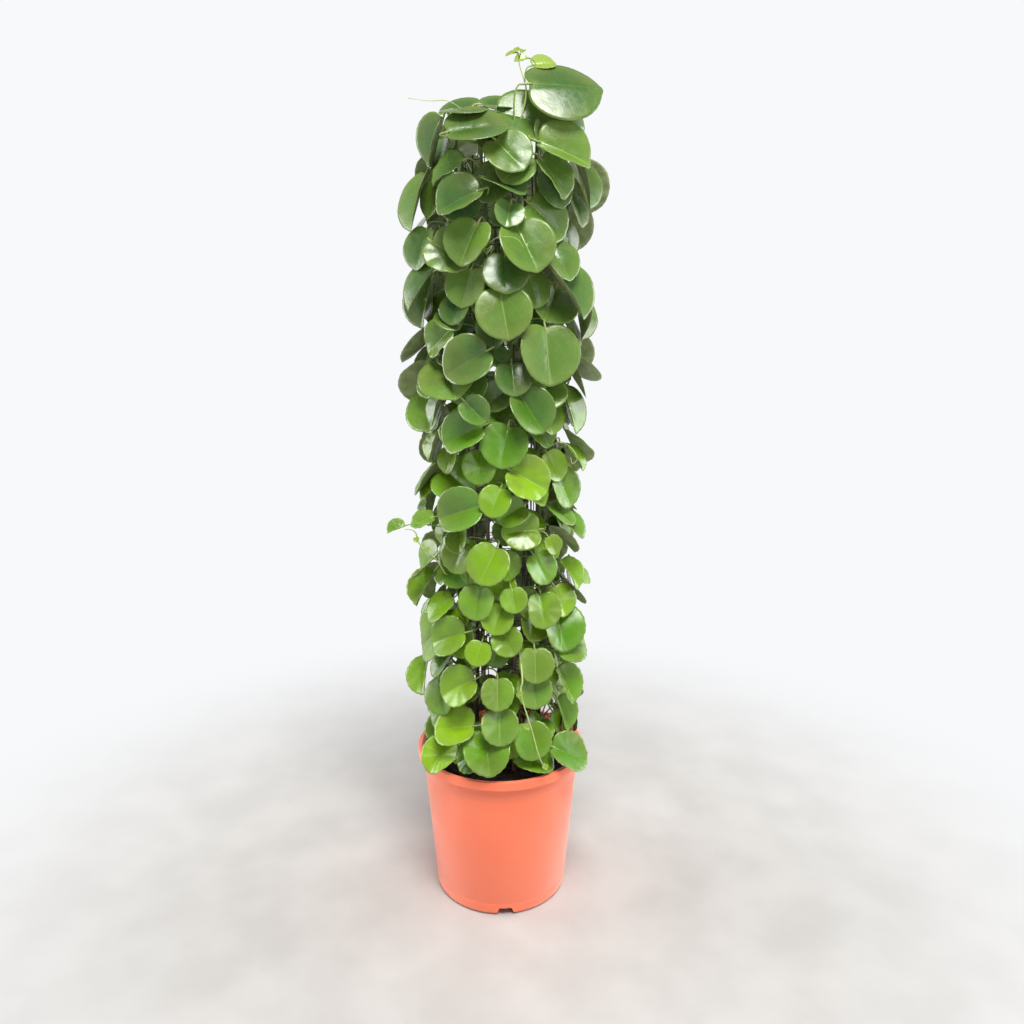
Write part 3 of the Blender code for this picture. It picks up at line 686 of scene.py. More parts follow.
FIT_GAP = 0.0003

# Leaves; petiole width, tip point and notch are shares of the blade's width
LEAF_THICKNESS = 0.0012
LEAF_LENGTH = 0.97
TIP_POINT = 0.05
TIP_ANGLE = 0.16
NOTCH_DEPTH = 0.18
NOTCH_ANGLE = 0.35
NOTCH_OPENING = 0.042
PETIOLE_WIDTH = 0.034
PETIOLE_BEND = 0.25
PETIOLE_JOINT = 0.1
SHARPEST_FOLD = radians(135)
MOST_SIDEWAYS = 0.8
CREASE = 0.002
BLADE_STEPS = 4
YOUNG_WIDTHS = (0.016, 0.038)
YOUNG_TONE = 0.5
YOUNGEST_ABOVE = 1.105

# Room kept round a leaf when another is placed
CLEAR_THICKNESS = 0.0034
CLEAR_SWELL = 1.04
CLEAR_STEPS = 6
CLEAR_PETIOLE = 0.94
CLEAR_PETIOLE_OWN_STEM = 0.5
CLEAR_STEM = 0.0014
CLEAR_NET = 0.0028
CLEAR_RIM = 0.002
SEEN_SPREAD = 0.155
SPREAD = 0.136

# Where the seen leaves may move to find room
SEEN_TRIES = 220
SEEN_ASIDE = 0.004
SEEN_INWARD = 0.016
SEEN_TURN = radians(16)
SEEN_CURL = radians(12)
SEEN_DROP = 0.004
SEEN_DROP_VARIES = 0.020
LOWEST_NODE = SOIL_TOP + 0.016
HIGHEST_NODE_BELOW_TOP = 0.004

# Rule for the other leaves, as ranges in metres and degrees
GROWTH_SEED = 11
RULE_TRIES = 60
RULE_SHRINK = 0.3
NODE_SPACING = 0.037
NODE_FREE = 0.4
FIRST_NODE = SOIL_TOP + 0.022
FIRST_NODE_STEP = 0.012
LOW_WIDTH = 0.060
HIGH_WIDTH = 0.084
WIDER_FROM = 0.25
WIDER_OVER = 0.8
WIDTH_VARIES = (0.8, 1.2)
RULE_TILT = (15, 50)
RULE_ASIDE = (4, 26)
RULE_FACING = (-15, 30)
RULE_BEARING = (0, 70)
RULE_OUT = (0.082, 0.112)
RULE_UP = (-0.02, 0.02)
RULE_FOLD = (0, 20)
RULE_CURL = (4, 25)
RULE_PETIOLE = 0.055

# Rule for the leaf that closes the top of each stem
CROWN_TRIES = 200
CROWN_WIDTH = (0.062, 0.084)
CROWN_ASIDE = (-30, 30)
CROWN_OUT = (0.02, 0.075)
CROWN_HEIGHT = (1.045, 1.085)
CROWN_FACING = (-40, 40)
CROWN_BEARING = (-40, 40)
CROWN_TILT = (50, 80)
CROWN_FOLD = (0, 14)
CROWN_CURL = (8, 25)
CROWN_PETIOLE = 0.075

# Leaves that give the front its look, in millimetres and degrees: across, up, out from the axis,
# width, then where the tip points (from straight down, + to the right), the way the blade faces
# (from the front, + to the right), how far it looks up, and how much its halves fold up.
SEEN_LEAVES = (
    (70, 1075, 60, 108, 95, 0, 35, 8),
    (55, 1120, 30, 34, 110, 0, 40, 10),
    (27, 1122, 30, 17, -80, 0, 40, 10),
    (22, 1030, 72, 74, 75, 5, 45, 5),
    (75, 1012, 67, 74, 20, 30, 25, 5),
    (92, 1050, 20, 65, 40, 60, 30, 0),
    (10, 1000, 92, 60, 40, 0, 30, 5),
    (-26, 1033, 90, 80, 110, -10, 65, 10),
    (-42, 1058, 55, 60, 60, -20, 70, 0),
    (5, 1060, 55, 45, 70, 10, 60, 0),
    (-78, 1030, 40, 60, -10, -55, 30, 25),
    (-62, 985, 62, 55, -60, -45, 35, 10),
    (-46, 948, 95, 64, -65, -12, 35, 10),
    (-105, 965, 15, 85, 0, -65, 25, 10),
    (-100, 903, 30, 60, -10, -45, 20, 10),
    (-82, 960, 45, 55, -20, -50, 20, 5),
    (5, 965, 82, 60, 60, 5, 50, 5),
    (10, 930, 90, 40, -20, 15, 30, 5),
    (58, 930, 72, 66, 50, 25, 25, 5),
    (32, 895, 102, 72, 20, 10, 28, 8),
    (-36, 900, 95, 62, -20, -15, 25, 8),
    (110, 985, 25, 72, 0, 70, 25, 10),
    (116, 1000, -70, 78, 10, 125, 35, 10),
    (100, 950, 30, 50, 10, 60, 30, 0),
    (68, 968, 50, 52, 20, 35, 25, 0),
    (90, 912, 40, 50, 10, 60, 20, 10),
    (-40, 850, 85, 55, -10, -20, 20, 5),
    (6, 866, 88, 58, 0, 5, 25, 0),
    (5, 818, 105, 70, 10, 0, 20, 5),
    (60, 770, 88, 82, 0, 20, 20, 8),
    (86, 846, 65, 80, 20, 50, 35, 15),
    (103, 870, 25, 60, 10, 75, 30, 10),
    (-55, 823, 78, 42, -10, -25, 25, 5),
    (-75, 788, 62, 54, -50, -40, 20, 5),
    (-39, 760, 96, 68, -60, -10, 25, 8),
    (15, 739, 92, 48, 0, 5, 25, 5),
    (42, 847, 78, 48, 10, 25, 20, 0),
    (93, 800, 30, 55, 10, 75, 35, 5),
    (-38, 727, 78, 52, -20, -15, 25, 0),
    (-32, 700, 100, 42, 45, -5, 20, 20),
    (38, 700, 96, 64, 30, 12, 22, 15),
    (-45, 671, 90, 62, -65, -15, 25, 10),
    (5, 659, 100, 62, -10, 0, 22, 5),
    (-25, 630, 88, 48, -5, -5, 25, 5),
    (34, 615, 96, 62, 60, 10, 25, 10),
    (70, 628, 62, 46, 20, 40, 25, 5),
    (85, 598, 52, 58, 15, 45, 20, 5),
    (100, 637, 42, 42, 5, 68, 45, 10),
    (-80, 705, 55, 55, 0, -72, 30, 10),
    (-88, 654, 45, 45, 0, -70, 30, 5),
    (94, 700, 30, 70, 5, 65, 25, 12),
    (-66, 635, 60, 38, -10, -45, 20, 5),
    (-50, 573, 93, 66, -72, -12, 25, 12),
    (-6, 587, 98, 44, -20, -5, 28, 5),
    (28, 546, 97, 54, -88, 8, 28, 10),
    (-15, 507, 101, 58, -25, -5, 25, 5),
    (-55, 511, 76, 48, -20, -25, 20, 0),
    (68, 526, 78, 28, 20, 25, 25, 5),
    (53, 497, 80, 48, 20, 30, 28, 5),
    (95, 480, 42, 50, 5, 60, 42, 12),
    (-105, 455, 20, 58, -5, -58, 40, 15),
    (-135, 547, 80, 30, -60, -20, 50, 5),
    (-100, 557, 65, 36, -60, -20, 60, 5),
    (90, 551, 52, 58, 10, 60, 58, 10),
    (80, 562, 45, 45, 0, 45, 50, 0),
    (-80, 540, 50, 30, 0, -60, 15, 0),
    (-30, 455, 93, 50, -10, -10, 25, 5),
    (17, 460, 102, 36, 10, 5, 28, 5),
    (-4, 433, 98, 44, -20, 0, 30, 5),
    (56, 440, 80, 52, 0, 25, 22, 5),
    (82, 445, 64, 48, 10, 40, 28, 5),
    (95, 382, 50, 58, 88, 30, 30, 10),
    (-68, 403, 82, 58, -68, -25, 30, 12),
    (-80, 437, 55, 50, -30, -45, 45, 0),
    (-29, 388, 100, 36, -15, -8, 30, 5),
    (8, 403, 99, 42, 30, 0, 35, 8),
    (46, 369, 93, 50, -5, 15, 30, 5),
    (-55, 338, 90, 58, -60, -20, 30, 10),
    (-4, 334, 105, 46, 0, 0, 32, 8),
    (44, 332, 90, 50, 5, 12, 30, 5),
    (90, 327, 55, 60, 10, 55, 30, 20),
    (88, 274, 45, 54, 5, 50, 20, 20),
    (-80, 355, 55, 45, 0, -68, 48, 5),
    (-60, 280, 90, 62, -78, -18, 50, 8),
    (-1, 290, 108, 52, 0, 0, 35, 5),
    (41, 267, 102, 54, 5, 12, 32, 5),
    (-80, 288, 55, 55, -20, -60, 30, 10),
    (-80, 240, 88, 56, -25, -25, 55, 5),
    (92, 234, 75, 60, 55, 25, 52, 5),
    (-18, 255, 108, 66, 10, -5, 48, 5),
    (45, 226, 80, 62, 60, 10, 65, 0),
    (-90, 230, 30, 45, 0, -70, 40, 5),
)


def smooth(value):
    """Runs from 0 to 1 with soft ends."""
    value = min(max(value, 0), 1)
    return value * value * (3 - 2 * value)


def stem_top(vine):
    return STEM_TOP + STEM_TOP_VARIES * sin(STEM_TOP_PHASE * vine)


def home_angle(vine):
    return FIRST_VINE + vine * tau / VINES


def stem_point(vine, height):
    above = height - SOIL_TOP
    sway = smooth((above - STEM_STRAIGHT) / SWAY_START)
    turn = sway * SWAY_TURN * sin(tau * above / SWAY_TURN_PITCH + SWAY_TURN_PHASE * vine)
    out = sway * SWAY_OUT * (1 + sin(tau * above / SWAY_OUT_PITCH + SWAY_OUT_PHASE * vine))
    return round_axis(STEM_CIRCLE + out, home_angle(vine) + turn, height)


def stem_heights(vine):
    foot = SOIL_TOP - STEM_HOLE_DEPTH
    start = SOIL_TOP + STEM_STRAIGHT
    rise = (stem_top(vine) - start) / (STEM_POINTS - 2)
    return [foot] + [start + rise * i for i in range(STEM_POINTS - 1)]


def outline_radius(angle):
    """Half a width, by the angle from the tip."""
    point = TIP_POINT * exp(-(angle / TIP_ANGLE) ** 2)
    notch = NOTCH_DEPTH * exp(-((pi - angle) / NOTCH_ANGLE) ** 2)
    return 0.5 * (1 + point - notch)


def leaf_blank(steps, swell=1):
    """The flat blade in widths and lengths, with its petiole behind it, as a slab from z -1 to +1."""
    bm = bmesh.new()
    bmesh.ops.create_circle(bm, cap_ends=True, cap_tris=True, radius=1, segments=2 * steps + 1)
    rim = [v for v in bm.verts if v.co.length > 0.5]
    closing = pi - NOTCH_OPENING
    for vertex in bm.verts:
        if vertex not in rim:
            vertex.co = (0, 0.5, 0)
    for index, vertex in enumerate(rim):
        step = index if index <= steps else index - 2 * steps - 1
        angle = min(abs(step) * pi / steps, closing)
        radius = outline_radius(angle) * swell
        vertex.co = (-radius * sin(angle) * (1 if step > 0 else -1), 0.5 + radius * cos(angle), 0)
    joint = [e for e in bm.edges if all(v in rim[steps:steps + 2] for v in e.verts)]
    grown = bmesh.ops.extrude_edge_only(bm, edges=joint)["geom"]
    for vertex in grown:
        if isinstance(vertex, bmesh.types.BMVert):
            vertex.co = (PETIOLE_WIDTH / 2 * (1 if vertex.co.x > 0 else -1), -1, 0)
    bmesh.ops.recalc_face_normals(bm, faces=bm.faces)
    bmesh.ops.solidify(bm, geom=bm.faces, thickness=1)
    bmesh.ops.triangulate(bm, faces=bm.faces)
    middle = sum(v.co.z for v in bm.verts) / len(bm.verts)
    for vertex in bm.verts:
        vertex.co.z = 1 if vertex.co.z > middle else -1
    bmesh.ops.recalc_face_normals(bm, faces=bm.faces)
    return mesh_from(bm, "leaf_blank")


class Leaf:
    """One leaf: where it grows from, where its blade lies and which way it looks."""

    def __init__(self, centre, width, bearing, facing, tilt, fold, curl):
        self.width = width
        self.fold = fold
        self.curl = curl
        self.centre = centre
        side = Vector((cos(facing), sin(facing), 0))
        self.face = Vector((sin(facing) * cos(tilt), -cos(facing) * cos(tilt), sin(tilt)))
        fall = side.cross(self.face)
        self.along = fall * cos(bearing) + side * sin(bearing)
        self.across = self.along.cross(self.face)
        self.length = width * LEAF_LENGTH
        self.base = centre - self.along * self.length / 2
        young, grown = YOUNG_WIDTHS
        self.youth = YOUNG_TONE * smooth((grown - width) / (grown - young))
        if centre.z > YOUNGEST_ABOVE:
            self.youth = 1
        self.form = 1
        self.plain = False

    def grow_from(self, vine, height):
        """Its petiole starts at a height of a stem."""
        self.vine = vine
        self.grow_at(stem_point(vine, height))

    def grow_at(self, root):
        self.root = root
        rise = self.base - self.root
        self.petiole = rise.length
        self.sideways = abs(rise.normalized().dot(self.across))
        self.turned_back = acos(min(max(rise.normalized().dot(self.along), -1), 1))

    def blade_point(self, x, y, z, fold=None):
        """Where a point of the flat blade lies once it is curled and folded; z is off its middle."""
        fold = self.fold if fold is None else fold
        turn = self.curl * y
        forward = self.length * (sin(turn) / self.curl)
        sink = self.length * (1 - cos(turn)) / self.curl
        up = self.face * cos(turn) + self.along * sin(turn)
        half = x * self.width
        round_crease = sqrt(half * half + CREASE * CREASE)
        slope = sin(fold) * half / round_crease
        spine = self.base + self.along * forward - self.face * sink
        blade = spine + self.across * half * cos(fold) + up * sin(fold) * (round_crease - CREASE)
        return blade + (up * cos(fold) - self.across * slope).normalized() * z

    def point(self, x, y, z):
        """Where a point of the flat blank lies on the grown leaf; z is in metres off its middle."""
        if y < 0:
            return self.petiole_point(x, -y, z)
        place = self.blade_point(x, y, z)
        if y < PETIOLE_JOINT:
            place -= self.along * z * tan(self.turned_back / 2)
        return place

    def petiole_point(self, x, share, z):
        """The petiole leaves the blade in its own line and bends over to the stem."""
        bend = self.base - self.along * self.petiole * PETIOLE_BEND
        rest = 1 - share
        spine = self.base * rest * rest + bend * 2 * rest * share + self.root * share * share
        run = ((self.base - bend) * rest + (bend - self.root) * share).normalized()
        level = run.cross(Vector((0, 0, 1)))
        if level.dot(self.across) < 0:
            level.negate()
        side = self.across.lerp(level, share)
        side = (side - run * side.dot(run)).normalized()
        return spine + side * x * self.width + side.cross(run) * z


class Growth:
    """Places leaves so that none crosses another, a stem, the net, the soil or the pot."""

    def __init__(self, thickness=CLEAR_THICKNESS, swell=CLEAR_SWELL, petiole=CLEAR_PETIOLE):
        self.half = thickness / 2
        self.petiole = petiole
        self.leaves = []
        self.shapes = []
        net_radius = NET_RADIUS + CLEAR_NET
        net = self.frustum(net_radius, net_radius, NET_FOOT, NET_TOP + CLEAR_NET)
        pot_top = POT_HEIGHT + FIT_GAP
        pot = self.frustum(SIDE_RADIUS_AT_FLOOR, RIM_RADIUS + CLEAR_RIM, 0, pot_top)
        self.solids = [net, pot]
        self.stems = [self.stem_shape(vine) for vine in range(VINES)]
        self.flat, self.faces = self.corners(leaf_blank(CLEAR_STEPS, swell))
        self.drawn, self.drawn_faces = self.corners(leaf_blank(BLADE_STEPS))

    @staticmethod
    def corners(blank):
        points = [v.co.copy() for v in blank.vertices]
        faces = [tuple(p.vertices) for p in blank.polygons]
        bpy.data.meshes.remove(blank)
        return points, faces

    @staticmethod
    def frustum(low_radius, high_radius, low, high):
        bm = bmesh.new()
        bmesh.ops.create_cone(bm, cap_ends=True, segments=TURN_STEPS, radius1=low_radius,
                              radius2=high_radius, depth=high - low)
        bmesh.ops.translate(bm, verts=bm.verts, vec=(0, 0, (low + high) / 2))
        tree = BVHTree.FromBMesh(bm)
        bm.free()
        return tree

    @staticmethod
    def stem_shape(vine):
        """A square sleeve round the stem, with a little room."""
        room = STEM_RADIUS + CLEAR_STEM
        points = []
        for height in stem_heights(vine):
            middle = stem_point(vine, height)
            for corner in range(4):
                turn = corner * pi / 2
                points.append(middle + Vector((room * cos(turn), room * sin(turn), 0)))
        faces = []
        for ring in range(len(points) // 4 - 1):
            for corner in range(4):
                low = 4 * ring + corner
                low_next = 4 * ring + (corner + 1) % 4
                faces.append((low, low_next, low_next + 4, low + 4))
        return BVHTree.FromPolygons(points, faces)

    def shape(self, leaf, petiole_share):
        """The leaf made thick and a little large, with only a share of its petiole."""
        points = []
        for co in self.flat:
            place = leaf.point(co.x, co.y, co.z * self.half)
            if co.y < 0:
                joint = leaf.point(co.x, 0.5 - outline_radius(pi), co.z * self.half)
                place = joint.lerp(place, petiole_share)
            points.append(place)
        return points, BVHTree.FromPolygons(points, self.faces)

    def crosses_itself(self, leaf):
        points = [leaf.point(co.x, co.y, co.z * LEAF_THICKNESS / 2) for co in self.drawn]
        tree = BVHTree.FromPolygons(points, self.drawn_faces)
        faces = self.drawn_faces
        return any(set(faces[a]).isdisjoint(faces[b]) for a, b in tree.overlap(tree))

    def fits(self, leaf, spread=SPREAD):
        twisted = leaf.turned_back > SHARPEST_FOLD or leaf.sideways > MOST_SIDEWAYS
        if twisted or self.crosses_itself(leaf):
            return False
        points, tree = self.shape(leaf, self.petiole)
        if max(max(abs(p.x), abs(p.y)) for p in points) > spread:
            return False
        blade = [p for p, co in zip(points, self.flat) if co.y > 0]
        if any(p.z < POT_HEIGHT and p.xy.length < RIM_RADIUS for p in blade):
            return False
        if any(tree.overlap(solid) for solid in self.solids):
            return False
        if any(tree.overlap(stem) for vine, stem in enumerate(self.stems) if vine != leaf.vine):
            return False
        own_share = min(self.petiole, CLEAR_PETIOLE_OWN_STEM)
        if self.shape(leaf, own_share)[1].overlap(self.stems[leaf.vine]):
            return False
        size = leaf.width / 2 + leaf.petiole
        for other, shape in self.shapes:
            if (other.centre - leaf.centre).length < size + other.width / 2 + other.petiole:
                if tree.overlap(shape):
                    return False
        self.keep(leaf, tree)
        return True

    def keep(self, leaf, tree):
        self.leaves.append(leaf)
        self.shapes.append((leaf, tree))


def listed_place(across, up, out):
    """A place given in millimetres across, up and out from the axis."""
    return Vector((across / 1000, -out / 1000, up / 1000))


def listed_leaf(row):
    """The leaf of a row, not yet on a stem."""
    across, up, out, width, *angles = row
    place = listed_place(across, up, out)
    return Leaf(place, width / 1000, *(radians(angle) for angle in angles), SEEN_CURL)


def nearest_vine(place):
    def distance(vine):
        return (stem_point(vine, min(place.z, stem_top(vine))) - place).length
    return min(range(VINES), key=distance)


def place_seen_leaf(growth, rng, row):
    """Tries the row's own place, then places further and further from it."""
    across, up, out, width, *angles = row
    bearing, facing, tilt, fold = (radians(angle) for angle in angles)
    for attempt in range(SEEN_TRIES):
        give = attempt / SEEN_TRIES
        wander = [rng.uniform(-give, give) for _ in range(6)]
        place = listed_place(across, up, out)
        place += Vector((SEEN_ASIDE * wander[0], -SEEN_INWARD * wander[1], SEEN_ASIDE * wander[2]))
        facing_now = facing + SEEN_TURN * wander[3]
        tilt_now = tilt + SEEN_TURN * wander[4]
        leaf = Leaf(place, width / 1000, bearing, facing_now, tilt_now, fold, SEEN_CURL)
        vine = nearest_vine(leaf.base)
        node = leaf.base.z - SEEN_DROP - SEEN_DROP_VARIES * wander[5]
        leaf.grow_from(vine, min(max(node, LOWEST_NODE), stem_top(vine) - HIGHEST_NODE_BELOW_TOP))
        if growth.fits(leaf, SEEN_SPREAD):
            return True
    return False


def place_crown_leaf(growth, rng, vine):
    """The last leaf of a stem lies over the open top of the net."""
    for attempt in range(CROWN_TRIES):
        width = rng.uniform(*CROWN_WIDTH) * (1 - RULE_SHRINK * attempt / CROWN_TRIES)
        angle = home_angle(vine) + radians(rng.uniform(*CROWN_ASIDE))
        centre = round_axis(rng.uniform(*CROWN_OUT), angle, rng.uniform(*CROWN_HEIGHT))
        facing = angle + radians(rng.uniform(*CROWN_FACING))
        bearing = radians(rng.uniform(*CROWN_BEARING))
        tilt = radians(rng.uniform(*CROWN_TILT))
        fold = radians(rng.uniform(*CROWN_FOLD))
        curl = radians(rng.uniform(*CROWN_CURL))
        leaf = Leaf(centre, width, bearing, facing, tilt, fold, curl)
        leaf.grow_from(vine, stem_top(vine) - HIGHEST_NODE_BELOW_TOP)
        if leaf.petiole < CROWN_PETIOLE and growth.fits(leaf):
            return


def place_rule_leaf(growth, rng, vine, height, side, out_range=RULE_OUT, shrink=1, tries=RULE_TRIES):
    """Blades are larger towards the top; leaves lean to the two sides of a stem in turn."""
    usual = LOW_WIDTH + (HIGH_WIDTH - LOW_WIDTH) * smooth((height - WIDER_FROM) / WIDER_OVER)
    for attempt in range(tries):
        width = usual * rng.uniform(*WIDTH_VARIES) * (1 - RULE_SHRINK * attempt / tries) * shrink
        tilt = radians(rng.uniform(*RULE_TILT))
        angle = home_angle(vine) + side * radians(rng.uniform(*RULE_ASIDE))
        facing = angle + side * radians(rng.uniform(*RULE_FACING))
        bearing = side * radians(rng.uniform(*RULE_BEARING))
        centre = round_axis(rng.uniform(*out_range), angle, height + rng.uniform(*RULE_UP))
        fold = radians(rng.uniform(*RULE_FOLD))
        curl = radians(rng.uniform(*RULE_CURL))
        leaf = Leaf(centre, width, bearing, facing, tilt, fold, curl)
        leaf.grow_from(vine, height)
        if leaf.petiole < RULE_PETIOLE and growth.fits(leaf):
            return


def grow_leaves():
    """The leaves of the solids, in the same order: seen ones, crowns, then one at each free node."""
    growth = Growth()
    rng = random.Random(GROWTH_SEED)
    left_over = []
    for row in sorted(SEEN_LEAVES, key=lambda row: -row[3]):
        if not place_seen_leaf(growth, rng, row):
            left_over.append(row)
    for vine in range(VINES):
        place_crown_leaf(growth, rng, vine)
    for vine in range(VINES):
        taken = [leaf.root.z for leaf in growth.leaves if leaf.vine == vine]
        height = FIRST_NODE + FIRST_NODE_STEP * (vine % 3)
        side = 1 if vine % 2 else -1
        while height < stem_top(vine):
            if all(abs(height - other) > NODE_FREE * NODE_SPACING for other in taken):
                place_rule_leaf(growth, rng, vine, height, side)
            height += NODE_SPACING
            side = -side
    return growth.leaves, left_over


# More leaves that close the gaps: some seen at the front, and smaller ones behind and between the
# large ones. They lie closer together than the solids could, and grow from the same stems.
FILL_SEED = 23
FILL_THICKNESS = 0.0020
FILL_SWELL = 1.02
FILL_PETIOLE = 0.35
FILL_TRIES = 20
FILL_NODE_SPACING = 0.023
FILL_OUT = (0.064, 0.096)
FILL_SHRINK = 0.78
MORE_SEEN_LEAVES = (
    (32, 1040, 84, 84, 70, 5, 36, 6),
    (-22, 1050, 74, 76, 95, -5, 45, 14),
    (-66, 1040, 58, 58, 25, -35, 30, 22),
    (58, 1050, 66, 60, 60, 25, 35, 6),
    (20, 985, 84, 52, -40, 8, 25, 8),
    (-20, 978, 86, 46, 30, -8, 25, 8),
    (-70, 925, 62, 56, -20, -35, 25, 10),
    (70, 880, 66, 60, 20, 35, 25, 8),
)


def fill_gaps(leaves, left_over):
    """Tries these and the left over rows, as far as there is room, then a small leaf at each step."""
    growth = Growth(FILL_THICKNESS, FILL_SWELL, FILL_PETIOLE)
    for leaf in leaves:
        growth.keep(leaf, growth.shape(leaf, FILL_PETIOLE)[1])
    rng = random.Random(FILL_SEED)
    for row in (*MORE_SEEN_LEAVES, *left_over):
        place_seen_leaf(growth, rng, row)
    first_small = len(growth.leaves)
    for vine in range(VINES):
        height = FIRST_NODE + FILL_NODE_SPACING / 2
        side = -1 if vine % 2 else 1
        while height < stem_top(vine):
            place_rule_leaf(growth, rng, vine, height, side, FILL_OUT, FILL_SHRINK, FILL_TRIES)
            height += FILL_NODE_SPACING
            side = -side
    for leaf in growth.leaves[first_small:]:
        leaf.plain = True
    return growth.leaves


# Leaves that lie as seen where the solids had to give way, eight in the crown and one at the left.
# Each is named by about where it grew (across, up, out), followed by its row as a seen leaf.
TURNED_LEAVES = (
    ((70, 1075, 60), (76, 1085, 60, 102, 95, 4, 36, -12)),
    ((-26, 1034, 95), (-29, 1030, 84, 80, 110, -12, 46, 8)),
    ((75, 1012, 67), (76, 1006, 78, 76, 72, 15, 36, 8)),
    ((-77, 1029, 35), (-78, 1028, 34, 66, -32, -58, 8, 35)),
    ((-30, 1074, -54), (8, 1084, -22, 66, 80, 10, 60, 5)),
    ((-68, 1078, 6), (-48, 1076, 5, 60, -70, -12, 60, 8)),
    ((-1, 1081, 28), (0, 1072, 28, 58, 95, -5, 60, 8)),
    ((57, 1047, 71), (29, 1050, 54, 82, 78, 0, 32, 5)),
    ((-135, 547, 80), (-133, 550, 80, 27, -66, -10, 60, 15)),
)
TURNED_WITHIN = 0.025


def turn_leaves(leaves):
    for grown_at, row in TURNED_LEAVES:
        grown_place = listed_place(*grown_at)
        index = min(range(len(leaves)), key=lambda i: (leaves[i].centre - grown_place).length)
        old = leaves[index]
        if (old.centre - grown_place).length < TURNED_WITHIN:
            leaves[index] = listed_leaf(row)
            leaves[index].vine = old.vine
            leaves[index].grow_at(old.root)


solid_leaves, rows_left = grow_leaves()
all_leaves = fill_gaps(solid_leaves, rows_left)
turn_leaves(all_leaves)


# Vines: square green stems that turn brown and corky low down, round fleshy leaves on short stalks
# and curling tendrils. Each vine is one living piece, rooted in the soil and leaning on the net.
RINGS = (0.10, 0.24, 0.42, 0.60, 0.78, 0.92)
PLAIN_RINGS = (0.18, 0.45, 0.72, 0.92)
STEPS_PER_TOOTH = 4
TOOTH_SPACING = 0.0095
TOOTH_DEPTHS = (0.0009, 0.0003)
TOOTH_SHAPE = (0.0, 0.62, 0.95, 0.75)
TOOTH_FAINTER_FROM = 0.3
TOOTH_FAINTER_OVER = 0.6
TOOTHED_WIDTH = 0.045
TEETH_END = (2.75, 0.4)
TEETH_START = 0.15
FEWEST_TEETH = 5
BLADE_THICKNESS = 0.0010
FULL_THICKNESS_WIDTH = 0.03
RIM_THICKNESS = 0.0003
RIM_WAVE = (0.0004, 0.0016)
RIM_WAVE_TURNS = (2, 3, 3, 4)
SMALL_WAVE = 0.4
MIDRIB_DEPTH = 0.0014
MIDRIB_WIDTH = 0.055
MIDRIB_FADES = 0.4
FULL_BENDS_WIDTH = 0.06
MORE_FOLD = (radians(4), radians(15))
SPOON = (-0.0004, 0.0042)
TIP_DROOP = (0, 0.0035)
TIP_DROOP_RUN = (0.55, 0.5)
EASE_ROUNDS = 5
EASE_WITHIN = 0.6
EASE_SHARE = 0.5
COARSE_STEPS = 16
STALK_RADIUS = 0.0011
STALK_SWELLING = 0.0006
STALK_STEPS = 9
STALK_SIDES = 6
STALK_SLIMMEST = 0.55
# Where a stalk starts under the blade: how far in from the joint and how deep
STALK_STARTS = ((0.05, 1), (-0.01, 0.5))
# Its swellings: where along it, how long and how thick
STALK_JOINTS = ((0.08, 0.07, 0.6), (1.0, 0.10, 1.0))
STEM_STEP = 0.006
STEM_SIDES = 8
STEM_HOLLOWS = 0.86
STEM_TAPER = 0.25
NODE_SWELLING = 0.0011
NODE_LENGTH = 0.0045
FORM_SEED = 31
VINE_SEED = 100
UPPER, UNDER, STALK, BARK, SHOOT = range(5)

# Veins, in widths of the blade: where they meet, their bend and spread, the main ones' width and how
# much of it they lose, and how many side veins there are and how they slant
VEINS_MEET = 0.09
VEIN_BEND = 0.30
VEIN_SECTOR = 0.56
VEIN_WIDTH = 0.017
VEIN_THINNING = 0.010
SIDE_VEINS = 9.0
SIDE_VEIN_SLANT = 2.6

# Patches and grain: size in metres, detail and roughness; then colours and how strongly they show
# The olive patches are painted shade, dull dark patches like the shadows of the leaves above
OLIVE_SHADE_PATCHES = (0.055, 2)
YOUNG_PATCHES = (0.016, 4, 0.6)
GLOSS_PATCHES = (0.009, 4)
QUILT = (0.009, 0)
UNDER_CLOUDS = (0.011, 4)
STALK_FLUSH = (0.03, 3)
STALK_GRAIN = (0.0015, 3)
CORK_PATCHES = (0.008, 6, 0.65)
BARK_GRAIN = (0.0022, 6, 0.7)
UPPER_RELIEF = 0.0002
UNDER_RELIEF = 0.00025
STALK_RELIEF = 0.0001
BARK_RELIEF = 0.0004
BLUISH_SHARE = 0.55
OLIVE_SHADE_SHARE = 0.40
YOUNG_SHARE = 0.08
SIDE_VEIN_SHARE = 0.03
# Pale veins, strongest on the midrib: partly their own colour, partly a painted highlight along the
# midrib
VEIN_AND_HIGHLIGHT_SHARES = (0.08, 0.36)
# The first share is a broad paler edge, partly the leaf's own and partly painted sheen; the second is
# the thin pale rim
MARGIN_AND_SHEEN_SHARES = (0.20, 0.25)
LEAF_GLOSS = (0.20, 0.32)
LOW_LEAF_COLOURS = ((0.072, 0.215, 0.002), (0.195, 0.365, 0.004))
# The high colours are darker and bluer: painted shade and a painted bluish sheen on the upper leaves
SHADED_HIGH_LEAF_COLOURS = ((0.029, 0.085, 0.013), (0.097, 0.192, 0.024))
BLUISH_LEAF_COLOUR = (0.045, 0.130, 0.050)
